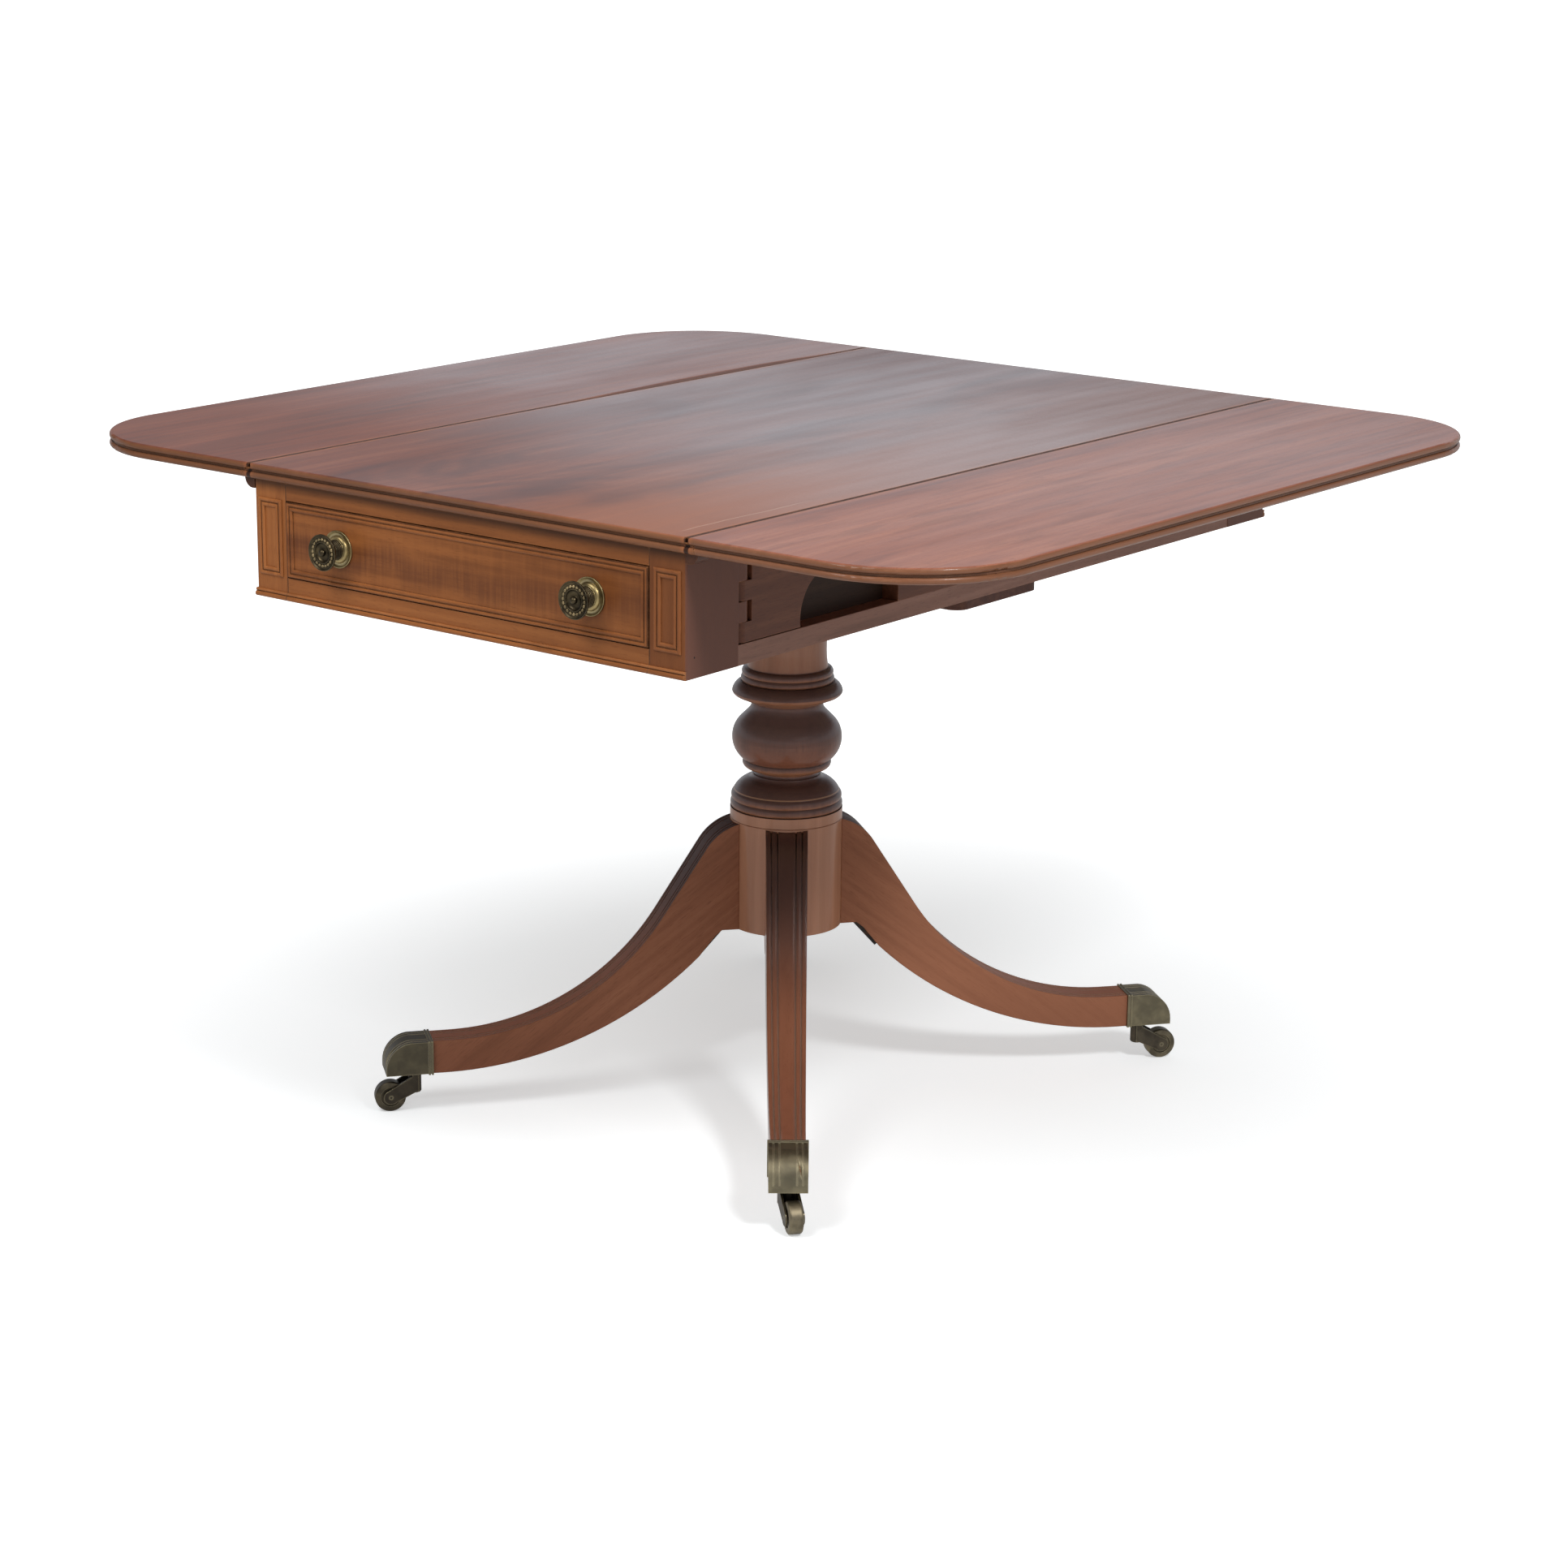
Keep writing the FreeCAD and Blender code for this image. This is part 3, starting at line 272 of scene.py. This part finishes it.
def leg_shades(place, colour):
    """The moulded top is redder than the sides, and nearly black at the root with old polish and painted
    shade from the table top above. The toes are darker, and the back right leg is painted paler, as
    painted light."""
    x, y, z = place.parts()
    colour = ((1 - z.step(*toe_heights)) * 0.4).blend(colour, dark_toe)
    # Painted light: the back right leg is painted paler to stand in for light on that side.
    paler = x.step(0.02, 0.1) * y.step(0.02, 0.1)
    colour = (paler * 0.3).blend(colour, painted_light_plank)
    up = upper_face(place, 0.15, 0.45)
    colour = (up * 0.6).blend(colour, red_top)
    # Painted shade, with old polish: the upward faces near the root are darkened under the table top.
    return (up * z.step(*root_heights) * 0.9).blend(colour, black_polish_and_painted_shade)


def quirk_fill(place):
    """Black wax in the quirks at the root, and pale dust in them further down."""
    return place.parts()[2].step(*wax_heights).blend(pale_dust, black_wax)


coat(mahogany("leg_mahogany", down_the_leg, leg_colours, polish=0.03, tint=leg_shades, bands=0.15,
              sheen=0.03, reach=0.003, soft=0.0016, fill=quirk_fill),
     "front_left_leg", "back_left_leg", "back_right_leg")
coat(mahogany("glossy_leg_mahogany", down_the_leg, leg_colours, polish=0.3, tint=leg_shades, bands=0.15,
              rough=0.2, sheen=0.45, reach=0.003, soft=0.003, fill=quirk_fill),
     "front_right_leg")

# Spider. A wrought-iron cross under the column, screwed up under the root of each leg. It is black with
# age and rusty in patches, and the screws, pins and hinges of the table have the same finish.
sound_iron = (0.03, 0.027, 0.025)
rusty_iron = (0.09, 0.045, 0.025)
iron, iron_shader, place = new_finish("dark_iron")
rust = place.noise(scale=150, detail=5).step(0.45, 0.75)
pitted = place.noise(scale=600, detail=3)
feed(iron_shader, {
    "Base Color": rust.blend(sound_iron, rusty_iron),
    "Metallic": 0.8 - rust * 0.6,
    "Roughness": 0.45 + rust * 0.35,
    "Normal": place.node("ShaderNodeBump", {}, {"Height": pitted, "Strength": 0.15, "Distance": 0.0006}),
})
coat(iron, "leg_spider", "spider_screws")

# Toe caps and castors. Cast brass, gone dark olive and rubbed bright along the arrises, with the moulding
# of the leg carried over each cap and pale dust in its quirks. The castors are the same brass, dirtier.
# The feet on the left are painted darker, as painted shade.
rubbed_brass = (0.55, 0.47, 0.29)
brass_dirt = (0.02, 0.016, 0.01)
cap_dust = (0.4, 0.35, 0.25)
painted_shade_brass = (0.024, 0.019, 0.015)


def old_brass(name, dull, bright, polish, reach, shade=None, rough=0.3, rubbed=0.8, fill=brass_dirt):
    """Brass in clouds of dull and bright, rubbed along the arrises, with its hollows filled."""
    finish, shader, place = new_finish(name)
    cloud = place.noise(scale=70, detail=4, warp=0.3)
    speck = place.noise(scale=900)
    arris = place.hidden(reach * 0.5, inside=True).step(0.2, 0.55)
    hollow = place.hidden(reach).step(0.2, 0.75)
    colour = (cloud.step(0.3, 0.75) * polish).blend(dull, bright)
    if shade:
        colour = shade(place, colour)
    colour = (arris * rubbed).blend(colour, rubbed_brass)
    colour = (hollow * 0.85).blend(colour, fill)
    rounded = place.node("ShaderNodeBevel", {"samples": 4}, {"Radius": reach * 0.25})
    bump = place.node("ShaderNodeBump", {},
                      {"Height": speck, "Normal": rounded, "Strength": 0.08, "Distance": 0.0003})
    feed(shader, {
        "Base Color": colour,
        "Metallic": 1 - hollow * 0.6,
        "Roughness": rough + cloud * 0.2 + hollow * 0.3 - arris * 0.1,
        "Normal": bump,
    })
    return finish


# Painted shade: the caps and castors on the left are darkened.
def painted_shade_on_left(place, colour):
    """The feet on the left are painted darker than those on the right, as painted shade."""
    x = place.parts()[0]
    return ((1 - x.step(-0.25, 0.0)) * 0.6).blend(colour, painted_shade_brass)


coat(old_brass("cap_brass", (0.135, 0.117, 0.078), (0.27, 0.23, 0.142), polish=0.7, reach=0.003,
               shade=painted_shade_on_left, rough=0.42, rubbed=0.4, fill=cap_dust),
     "toe_caps")
fork_brass = old_brass("fork_brass", (0.055, 0.046, 0.035), (0.15, 0.124, 0.084), polish=0.6, reach=0.004,
                       shade=painted_shade_on_left, rough=0.38, rubbed=0.3)
wheel_brass = old_brass("wheel_brass", (0.1, 0.084, 0.058), (0.3, 0.25, 0.16), polish=0.7, reach=0.004,
                        shade=painted_shade_on_left, rough=0.38, rubbed=0.3)
for corner in ("front_left", "front_right", "back_left", "back_right"):
    coat(fork_brass, corner + "_castor_fork")
    coat(wheel_brass, corner + "_castor_wheel")

# Pillar block. A flat bearer of plain mahogany across the frame, red-brown and hardly polished, screwed up
# into the side rails, with the column's tenon through its middle.
block_colours = ((0.04, 0.016, 0.012), (0.085, 0.034, 0.024), (0.13, 0.055, 0.035))
quarter_turn = math.radians(90)


def along_x(place):
    """Grain from left to right."""
    return place.node("ShaderNodeMapping", {}, {"Vector": place, "Rotation": (0, quarter_turn, 0)})


def along_y(place):
    """Grain from front to back."""
    return place.node("ShaderNodeMapping", {}, {"Vector": place, "Rotation": (quarter_turn, 0, 0)})


coat(mahogany("block_mahogany", along_x, block_colours, polish=0.05, rough=0.5), "pillar_block")
coat(iron, "pillar_block_screws")

# Side frame. Inner rails of plainer wood, painted near black with dirt and painted shade, as they sit deep
# in shadow behind the brackets, with strips and fillers of mahogany outside them. The fly brackets swing
# on wooden knuckles round an iron pin, and are dull brown and dirty in the cove.
bracket_colours = ((0.06, 0.022, 0.012), (0.12, 0.043, 0.023), (0.17, 0.066, 0.035))
strip_colours = ((0.15, 0.075, 0.053), (0.25, 0.125, 0.088), (0.32, 0.165, 0.12))
dirt_and_painted_shade_rail_colours = ((0.02, 0.011, 0.008), (0.04, 0.022, 0.015), (0.06, 0.034, 0.022))
coat(mahogany("bracket_mahogany", along_y, bracket_colours, polish=0.08, wear=0.35),
     "left_side_filler", "right_side_filler",
     "front_left_bracket", "front_right_bracket", "back_left_bracket", "back_right_bracket")
coat(mahogany("strip_mahogany", along_y, strip_colours, polish=0.08, wear=0.35),
     "left_lower_strip", "right_lower_strip")
# Painted shade, with dirt: the inner rails are near black.
coat(mahogany("rail_wood", along_y, dirt_and_painted_shade_rail_colours, polish=0.0, wear=0.2, rough=0.6),
     "left_inner_rail", "right_inner_rail")
coat(iron, "bracket_pins")

# Runners, kickers and the lining of the drawer. Unpolished pale wood, with its grain along the runners,
# the kickers and the sides of the drawer, and across its back and bottom.
lining_colours = ((0.16, 0.09, 0.045), (0.3, 0.19, 0.1), (0.4, 0.27, 0.15))
coat(mahogany("lining_wood", along_y, lining_colours, polish=0.0, dirt=0.6, wear=0.1, rough=0.6),
     "left_drawer_runner", "right_drawer_runner", "drawer_kickers",
     "drawer_left_side", "drawer_right_side")
coat(mahogany("lining_cross_wood", along_x, lining_colours, polish=0.0, dirt=0.6, wear=0.1, rough=0.6),
     "drawer_back", "drawer_bottom")

# Ends of the frieze. Posts, rails and beads of golden-brown mahogany, with the grain up the posts and
# along the rails. A fine dark line shows where each rail meets its post, and the sides of the posts are
# dull and brown. Painted shade deepens each end toward its right, most on the right-hand posts, and a
# painted shadow lies along the top of the rails and posts under the overhang of the top.
post_low, post_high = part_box("front_right_post")
nail_y = 0.488
nail_z = 0.607
end_colours = ((0.19, 0.06, 0.016), (0.31, 0.104, 0.028), (0.39, 0.14, 0.04))
fillet_colours = ((0.04, 0.015, 0.008), (0.075, 0.028, 0.015), (0.11, 0.043, 0.022))
dark_line = (0.016, 0.007, 0.004)
painted_shade_brown = (0.12, 0.036, 0.01)
painted_shade_post_brown = (0.1, 0.03, 0.014)
painted_shadow_brown = (0.04, 0.015, 0.006)
dull_side = (0.132, 0.058, 0.043)
nail_black = (0.005, 0.003, 0.002)


# Painted shade: colour deepens toward the right of each end.
def painted_shade_to_the_right(x, colour):
    """Each end is painted darker from its left-hand part to its right, as painted shade."""
    return (x.step(-0.2, 0.3) * 0.45).blend(colour, painted_shade_brown)


def joint_line(place, colour):
    """The line between post and rail, painted shade deepening to the right, and a painted shadow under the
    overhang of the top.
    """
    x, _, z = place.parts()
    line = 1 - abs(abs(x) - post_low.x).step(0.0003, 0.0009)
    colour = painted_shade_to_the_right(x, colour)
    # Painted shadow: the upper edge of rails and posts is darkened under the overhang of the top.
    colour = (z.step(post_high.z - 0.014, post_high.z - 0.002) * 0.75).blend(colour, painted_shadow_brown)
    return (line * 0.9).blend(colour, dark_line)


# Painted shade: the right-hand posts and their beads are darkened.
def painted_shade_right_posts(place, colour):
    """The right-hand posts and the beads of their panels are painted darker, as painted shade."""
    x = place.parts()[0]
    return (x.step(0.15, 0.22) * 0.4).blend(colour, painted_shade_post_brown)


def post_shades(place, colour):
    """Painted shade on the right-hand posts, dull sides, the line against the rails with its painted shade
    and shadow, and a nail hole low on each side.
    """
    x, y, z = place.parts()
    colour = painted_shade_right_posts(place, colour)
    side = abs(x).step(post_high.x - 0.002, post_high.x - 0.0005)
    colour = (side * 0.8).blend(joint_line(place, colour), dull_side)
    hole = abs(abs(y) - nail_y) + abs(z - nail_z)
    return (side * (1 - hole.step(0.0008, 0.0016))).blend(colour, nail_black)


coat(mahogany("post_mahogany", upright, end_colours, polish=0.04, tint=post_shades),
     "front_left_post", "front_right_post", "back_left_post", "back_right_post")
coat(mahogany("panel_bead_mahogany", upright, end_colours, polish=0.06, tint=painted_shade_right_posts, wear=0.6,
              reach=0.003),
     "post_panel_beads")
coat(mahogany("rail_mahogany", along_x, end_colours, polish=0.05, tint=joint_line, wear=0.8),
     "front_top_rail", "front_bottom_rail", "back_top_rail", "back_bottom_rail", "base_beads")
coat(mahogany("fillet_mahogany", along_y, fillet_colours, polish=0.05, wear=0.2), "joint_fillets")

# Drawer front and the dummy front opposite. One figured board each, with a fine upright ripple, a soft
# dark cloud along the board below its middle, and a double bead mitred round the edge, with a dark line
# outside it. Painted shade deepens each toward its right.
front_low, front_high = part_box("drawer_front")
front_middle = (front_low + front_high) / 2
cloud_drop = 0.008
cloud_wander = 0.05
rim_line = (-0.0012, -0.0006)
cloud_brown = (0.1, 0.03, 0.012)


def drawer_figure(place, colour):
    """The cloud below the middle of the board, broken by the ripple, painted shade deepening to the right,
    and the line round its edge.
    """
    x, y, z = place.parts()
    drift = place.noise(scale=7, stretch=(1, 1, 0.3), detail=3, warp=0.4)
    low = z - front_middle.z + cloud_drop + (drift - 0.5) * cloud_wander
    cloud = 1 - abs(low).step(0.002, 0.024)
    ripple = place.noise(scale=300, stretch=(1, 1, 0.03)).step(0.3, 0.7)
    colour = (cloud * (ripple * 0.3 + 0.4)).blend(colour, cloud_brown)
    # Painted shade deepening toward the right of the board.
    colour = painted_shade_to_the_right(x, colour)
    to_end = abs(x - front_middle.x) + (front_middle.x - front_high.x)
    to_edge = abs(z - front_middle.z) + (front_middle.z - front_high.z)
    rim = to_end.step(*rim_line) + to_edge.step(*rim_line)
    face = abs(y).step(-front_low.y - 0.004, -front_low.y - 0.002)
    return (rim * face * 0.9).blend(colour, dark_line)


coat(mahogany("drawer_mahogany", along_x, end_colours, polish=0.05, tint=drawer_figure, ripple=0.35,
              wear=0.8, reach=0.003),
     "drawer_front", "dummy_front")

# Knobs. Turned and cast brass: a dished backplate, a stem with fine rings, and a round face with a raised
# rim, a ring of cast beads and a ball in the middle. The beads are modelled here and sit in the ring of
# the CAD knob.
coat(old_brass("knob_brass", (0.04, 0.031, 0.019), (0.15, 0.112, 0.057), polish=0.6, reach=0.0014,
               rubbed=0.45),
     "drawer_knobs", "dummy_knobs")
coat(old_brass("plate_brass", (0.15, 0.112, 0.05), (0.46, 0.35, 0.16), polish=0.9, reach=0.002,
               rubbed=0.6),
     "drawer_knob_plates", "dummy_knob_plates")
bead_brass = old_brass("bead_brass", (0.15, 0.112, 0.06), (0.46, 0.345, 0.18), polish=1.0, reach=0.001)
bead_ring_radius = 0.0129
bead_radius = 0.0017
bead_count = 20
bead_depth = 0.0040
bead_shape = (1.12, 0.9, 0.92)
for name, body, knobs, out in (("drawer_knob_beads", "drawer", "drawer_knobs", -1),
                               ("dummy_knob_beads", "table", "dummy_knobs", 1)):
    low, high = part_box(knobs)
    knob_radius = (high.z - low.z) / 2
    middle_z = (high.z + low.z) / 2
    face_y = (low.y if out < 0 else high.y) - out * bead_depth
    rings = []
    for middle_x in (low.x + knob_radius, high.x - knob_radius):
        first_bead = (middle_x, face_y, middle_z + bead_ring_radius)
        bpy.ops.object.select_all(action="DESELECT")
        bpy.ops.mesh.primitive_uv_sphere_add(segments=14, ring_count=8, radius=bead_radius,
                                             location=first_bead)
        ring = bpy.context.object
        bpy.ops.object.transform_apply(location=True)
        bpy.ops.object.mode_set(mode="EDIT")
        bpy.ops.mesh.select_all(action="SELECT")
        bpy.ops.transform.resize(value=bead_shape, center_override=first_bead)
        bpy.ops.mesh.spin(steps=bead_count, dupli=True, angle=2 * math.pi,
                          center=(middle_x, face_y, middle_z), axis=(0, 1, 0))
        bpy.ops.object.mode_set(mode="OBJECT")
        rings.append(ring)
    bpy.ops.object.select_all(action="DESELECT")
    for ring in rings:
        ring.select_set(True)
    bpy.context.view_layer.objects.active = rings[0]
    bpy.ops.object.join()
    beads = bpy.context.object
    beads.name = name
    bpy.ops.object.mode_set(mode="EDIT")
    bpy.ops.mesh.select_all(action="SELECT")
    bpy.ops.mesh.remove_doubles(threshold=0.00001)
    bpy.ops.mesh.normals_make_consistent(inside=False)
    bpy.ops.object.mode_set(mode="OBJECT")
    bpy.ops.object.transform_apply(location=True)
    bpy.ops.object.shade_smooth()
    beads.data.materials.append(bead_brass)
    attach(beads, body)

# Hinges. Iron flaps let in flush under the rule joints, three to each leaf, with a pin on the axis of the
# joint. They are as black as the spider.
coat(iron, "hinge_fixed_flaps", "hinge_pins", "left_leaf_hinges", "right_leaf_hinges")

# Top. Three solid boards with two reeds round the edge and a rule joint at each leaf, the grain along the
# joints. The left leaf is dull red, the centre has a smoky flame and a cloudy polish, and the right leaf
# is warm and mottled. The back of the centre board is painted darker as painted shade, and the left leaf
# has a band of painted shade where it has sunk along its joint.
top_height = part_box("centre_top")[1].z
joint_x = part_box("right_leaf")[0].x
crack_x = 0.256
centre_colours = ((0.11, 0.036, 0.024), (0.19, 0.066, 0.042), (0.26, 0.1, 0.062))
left_colours = ((0.12, 0.036, 0.02), (0.2, 0.061, 0.034), (0.27, 0.092, 0.05))
right_colours = ((0.18, 0.057, 0.034), (0.29, 0.1, 0.058), (0.365, 0.14, 0.082))
golden_reeds = (0.17, 0.07, 0.028)
worn_red = (0.34, 0.115, 0.045)
joint_black = (0.02, 0.007, 0.004)
warm_side = (0.37, 0.138, 0.064)
flame_brown = (0.085, 0.04, 0.036)
painted_shade_back = (0.075, 0.036, 0.031)
pale_crack = (0.5, 0.31, 0.23)
right_fleck = (0.12, 0.04, 0.026)
left_fleck = (0.08, 0.028, 0.018)
painted_shade_band = (0.13, 0.042, 0.018)


def worn_edges(place, colour):
    """Golden reeds round the edge, and along the rule joints a dark line between worn arrises."""
    x, _, z = place.parts()
    edge = 1 - z.step(top_height - 0.0014, top_height - 0.0002)
    colour = (edge * 0.75).blend(colour, golden_reeds)
    to_joint = abs(abs(x) - joint_x)
    rubbed = place.noise(scale=25, detail=3).step(0.3, 0.7)
    colour = ((1 - to_joint.step(0.003, 0.009)) * (rubbed * 0.6 + 0.35)).blend(colour, worn_red)
    return ((1 - to_joint.step(0.0018, 0.0034)) * 0.95).blend(colour, joint_black)


def smoky(place, colour):
    """A flame of darker wood along the middle of the board, warmer wood on its right, a back painted
    darker as painted shade, and a hairline crack by the right-hand joint."""
    x, y, _ = place.parts()
    flame = place.noise(scale=5, stretch=(1.5, 0.5, 1), detail=4, warp=1.4).step(0.45, 0.68)
    middle = 1 - abs(x + 0.05).step(0.08, 0.24)
    colour = (x.step(-0.05, 0.22) * 0.55).blend(colour, warm_side)
    colour = (flame * (middle * 0.6 + 0.15)).blend(colour, flame_brown)
    # Painted shade: the board is darkened toward its back.
    colour = (y.step(-0.35, 0.2) * 0.45).blend(colour, painted_shade_back)
    drift = place.noise(scale=20)
    crack = 1 - abs(x - crack_x + (drift - 0.5) * 0.006).step(0.0004, 0.0012)
    crack = crack * y.step(-0.49, -0.47) * (1 - y.step(-0.34, -0.28))
    return worn_edges(place, (crack * 0.6).blend(colour, pale_crack))


def off_the_joint(place, wide=0.0):
    """0 along the rule joints, where the polish is worn through, and 1 away from them."""
    x = place.parts()[0]
    return (abs(abs(x) - joint_x) - wide).step(0.0015, 0.0045)


def threads(place):
    """Fine threads along the grain, which break up the polish."""
    return place.noise(scale=55, stretch=(1, 0.06, 1), detail=3).step(0.25, 0.75)


def cloudy_polish(place):
    """Polish that has bloomed toward the back of the board and is rubbed away at the front."""
    x, y, _ = place.parts()
    patch = place.noise(scale=4, stretch=(1.3, 0.6, 1), detail=3, warp=0.8).step(0.3, 0.7)
    bloom = (y + x * 0.4).step(-0.46, 0.0) * (0.46 + patch * 0.2 + threads(place) * 0.18)
    bloom = bloom - y.step(0.1, 0.5) * 0.25
    haze = x.step(-0.2, -0.08) * (1 - x.step(-0.02, 0.1)) * 0.09
    return (0.06 + haze + bloom) * off_the_joint(place)


def sunk(place):
    """How wide the left leaf shows a band of painted shade beside the joint, where it has sunk toward the
    back.
    """
    y = place.parts()[1]
    return y.step(-0.1, 0.2) * (1 - y.step(0.3, 0.48)) * 0.011


def left_polish(place):
    """A thin polish, bloomed in patches from the middle of the leaf to its back."""
    y = place.parts()[1]
    patch = place.noise(scale=5, stretch=(1.3, 0.5, 1), detail=3, warp=0.8).step(0.3, 0.7)
    bloom = y.step(-0.35, 0.1) * (0.3 + patch * 0.2 + threads(place) * 0.15) - y.step(0.2, 0.5) * 0.06
    return (0.07 + bloom) * off_the_joint(place, sunk(place))


def right_polish(place):
    """An even polish, a little fuller toward the middle of the leaf."""
    y = place.parts()[1]
    film = 0.22 + threads(place) * 0.12 + y.step(-0.45, 0.0) * 0.18 - y.step(0.2, 0.5) * 0.08
    return film * off_the_joint(place)


def mottled(place, colour):
    """Short dark flecks along the grain."""
    fleck = place.noise(scale=36, stretch=(1.6, 0.25, 1), detail=3, warp=0.5).step(0.45, 0.75)
    return worn_edges(place, (fleck * 0.38).blend(colour, right_fleck))


def left_streaks(place, colour):
    """Long soft streaks, and a wider band of painted shade where the leaf has sunk along the back of its
    joint.
    """
    x = place.parts()[0]
    fleck = place.noise(scale=12, stretch=(2.2, 0.3, 1), detail=4, warp=0.6).step(0.45, 0.75)
    colour = worn_edges(place, (fleck * 0.35).blend(colour, left_fleck))
    # Painted shade: a dark band along the joint where the leaf has sunk.
    band = (abs(x) - joint_x - sunk(place)).step(-0.0015, 0.0)
    return (1 - band).blend(colour, painted_shade_band)


coat(mahogany("centre_mahogany", along_y, centre_colours, polish=cloudy_polish, tint=smoky, wear=0.9),
     "centre_top")
coat(mahogany("left_leaf_mahogany", along_y, left_colours, polish=left_polish, tint=left_streaks,
              wear=0.9),
     "left_leaf")
coat(mahogany("right_leaf_mahogany", along_y, right_colours, polish=right_polish, tint=mottled, wear=0.9),
     "right_leaf")

# Floor. A wide pale studio floor that keeps the table's soft shadow. It glows for the camera, more with
# distance from the table, so that it is white beyond the shadow.
floor_size = 160
floor_grey = (0.82, 0.85, 0.865, 1)
white = (1, 1, 1, 1)
bpy.ops.object.select_all(action="DESELECT")
bpy.ops.mesh.primitive_plane_add(size=floor_size)
floor = bpy.context.object
floor.name = "floor"
floor_finish, _, place = new_finish("floor_white")
seen = place.node("ShaderNodeLightPath", {}, {}, "Is Camera Ray")
mirrored = place.node("ShaderNodeLightPath", {}, {}, "Is Glossy Ray")
away = place.node("ShaderNodeVectorMath", {"operation": "LENGTH"}, {0: place}, "Value").step(0.4, 1.7)
glow_strength = seen * (0.4 + away * 0.6) + mirrored * 0.2
glow = place.node("ShaderNodeEmission", {}, {"Color": white, "Strength": glow_strength})
matt = place.node("ShaderNodeBsdfDiffuse", {}, {"Color": floor_grey})
both = place.node("ShaderNodeAddShader", {}, {0: glow, 1: matt})
place.tree.links.new(both.socket, place.tree.nodes["Material Output"].inputs["Surface"])
floor.data.materials.append(floor_finish)

# Studio light. An even white surround, with a broad soft light from the drawer end and another from the
# right, low enough to reach the legs. Reflections see a pale backdrop, a dim room above it, a soft box and
# a ceiling panel.
aim = Vector((0, 0, 0.5))
right_light = Vector((1.09, -0.42, 1.0)).normalized()
right_light_distance = 3.2
ambient = 0.47
daylight = (1, 1, 1)
cool_daylight = (0.94, 0.97, 1.05)
world = bpy.data.worlds.new("studio")
bpy.context.scene.world = world
world.use_nodes = True
sky = Tone(world.node_tree)
x, y, height = sky.node("ShaderNodeTexCoord", {}, {}, "Generated").parts()
mirrored = sky.node("ShaderNodeLightPath", {}, {}, "Is Glossy Ray")
seen = sky.node("ShaderNodeLightPath", {}, {}, "Is Camera Ray")
soft_box = (x * right_light.x + y * right_light.y + height * right_light.z).step(0.9, 0.96)
dim_room = height.step(0.16, 0.4)
ceiling = height.step(0.75, 0.9)
reflected = 0.85 - dim_room * 0.68 + soft_box * 0.7 + ceiling * 0.5
strength = ambient + mirrored * (reflected - ambient) + seen * (1 - ambient)
backdrop = world.node_tree.nodes["Background"]
world.node_tree.links.new(strength.socket, backdrop.inputs["Strength"])
world.node_tree.links.new(mirrored.blend(daylight, cool_daylight).socket, backdrop.inputs["Color"])
for name, watts, size, spot in (("key_light", 25, 0.9, Vector((-0.18, -1.83, 2.44))),
                                ("right_light", 47, 0.5, right_light * right_light_distance + aim)):
    lamp = bpy.data.lights.new(name, "AREA")
    lamp.energy = watts
    lamp.size = size
    holder = bpy.data.objects.new(name, lamp)
    bpy.context.scene.collection.objects.link(holder)
    holder.location = spot
    holder.rotation_euler = (aim - spot).to_track_quat("-Z", "Y").to_euler()
    holder.visible_camera = False

# Camera. Its place, its turn and its lens were found by fitting points measured on the photograph: a long
# lens at the front right, looking down a little on the top.
camera_place = (2.3103, -2.9536, 1.3724)
yaw, pitch, roll = -0.6645, 0.2694, 0.0102
focal_pixels = 4494.9
photo_pixels = 1932
sensor_width = 36
forward = Vector((math.sin(yaw) * math.cos(pitch), math.cos(yaw) * math.cos(pitch), -math.sin(pitch)))
level = Vector((math.cos(yaw), -math.sin(yaw), 0))
upward = level.cross(forward)
right = math.cos(roll) * level + math.sin(roll) * upward
up = math.cos(roll) * upward - math.sin(roll) * level
lens = bpy.data.cameras.new("camera")
lens.sensor_width = sensor_width
lens.lens = focal_pixels / photo_pixels * sensor_width
camera = bpy.data.objects.new("camera", lens)
bpy.context.scene.collection.objects.link(camera)
camera_turn = Matrix((right, up, -forward)).transposed().to_4x4()
camera.matrix_world = Matrix.Translation(camera_place) @ camera_turn
bpy.context.scene.camera = camera
bpy.context.scene.view_settings.view_transform = "Standard"
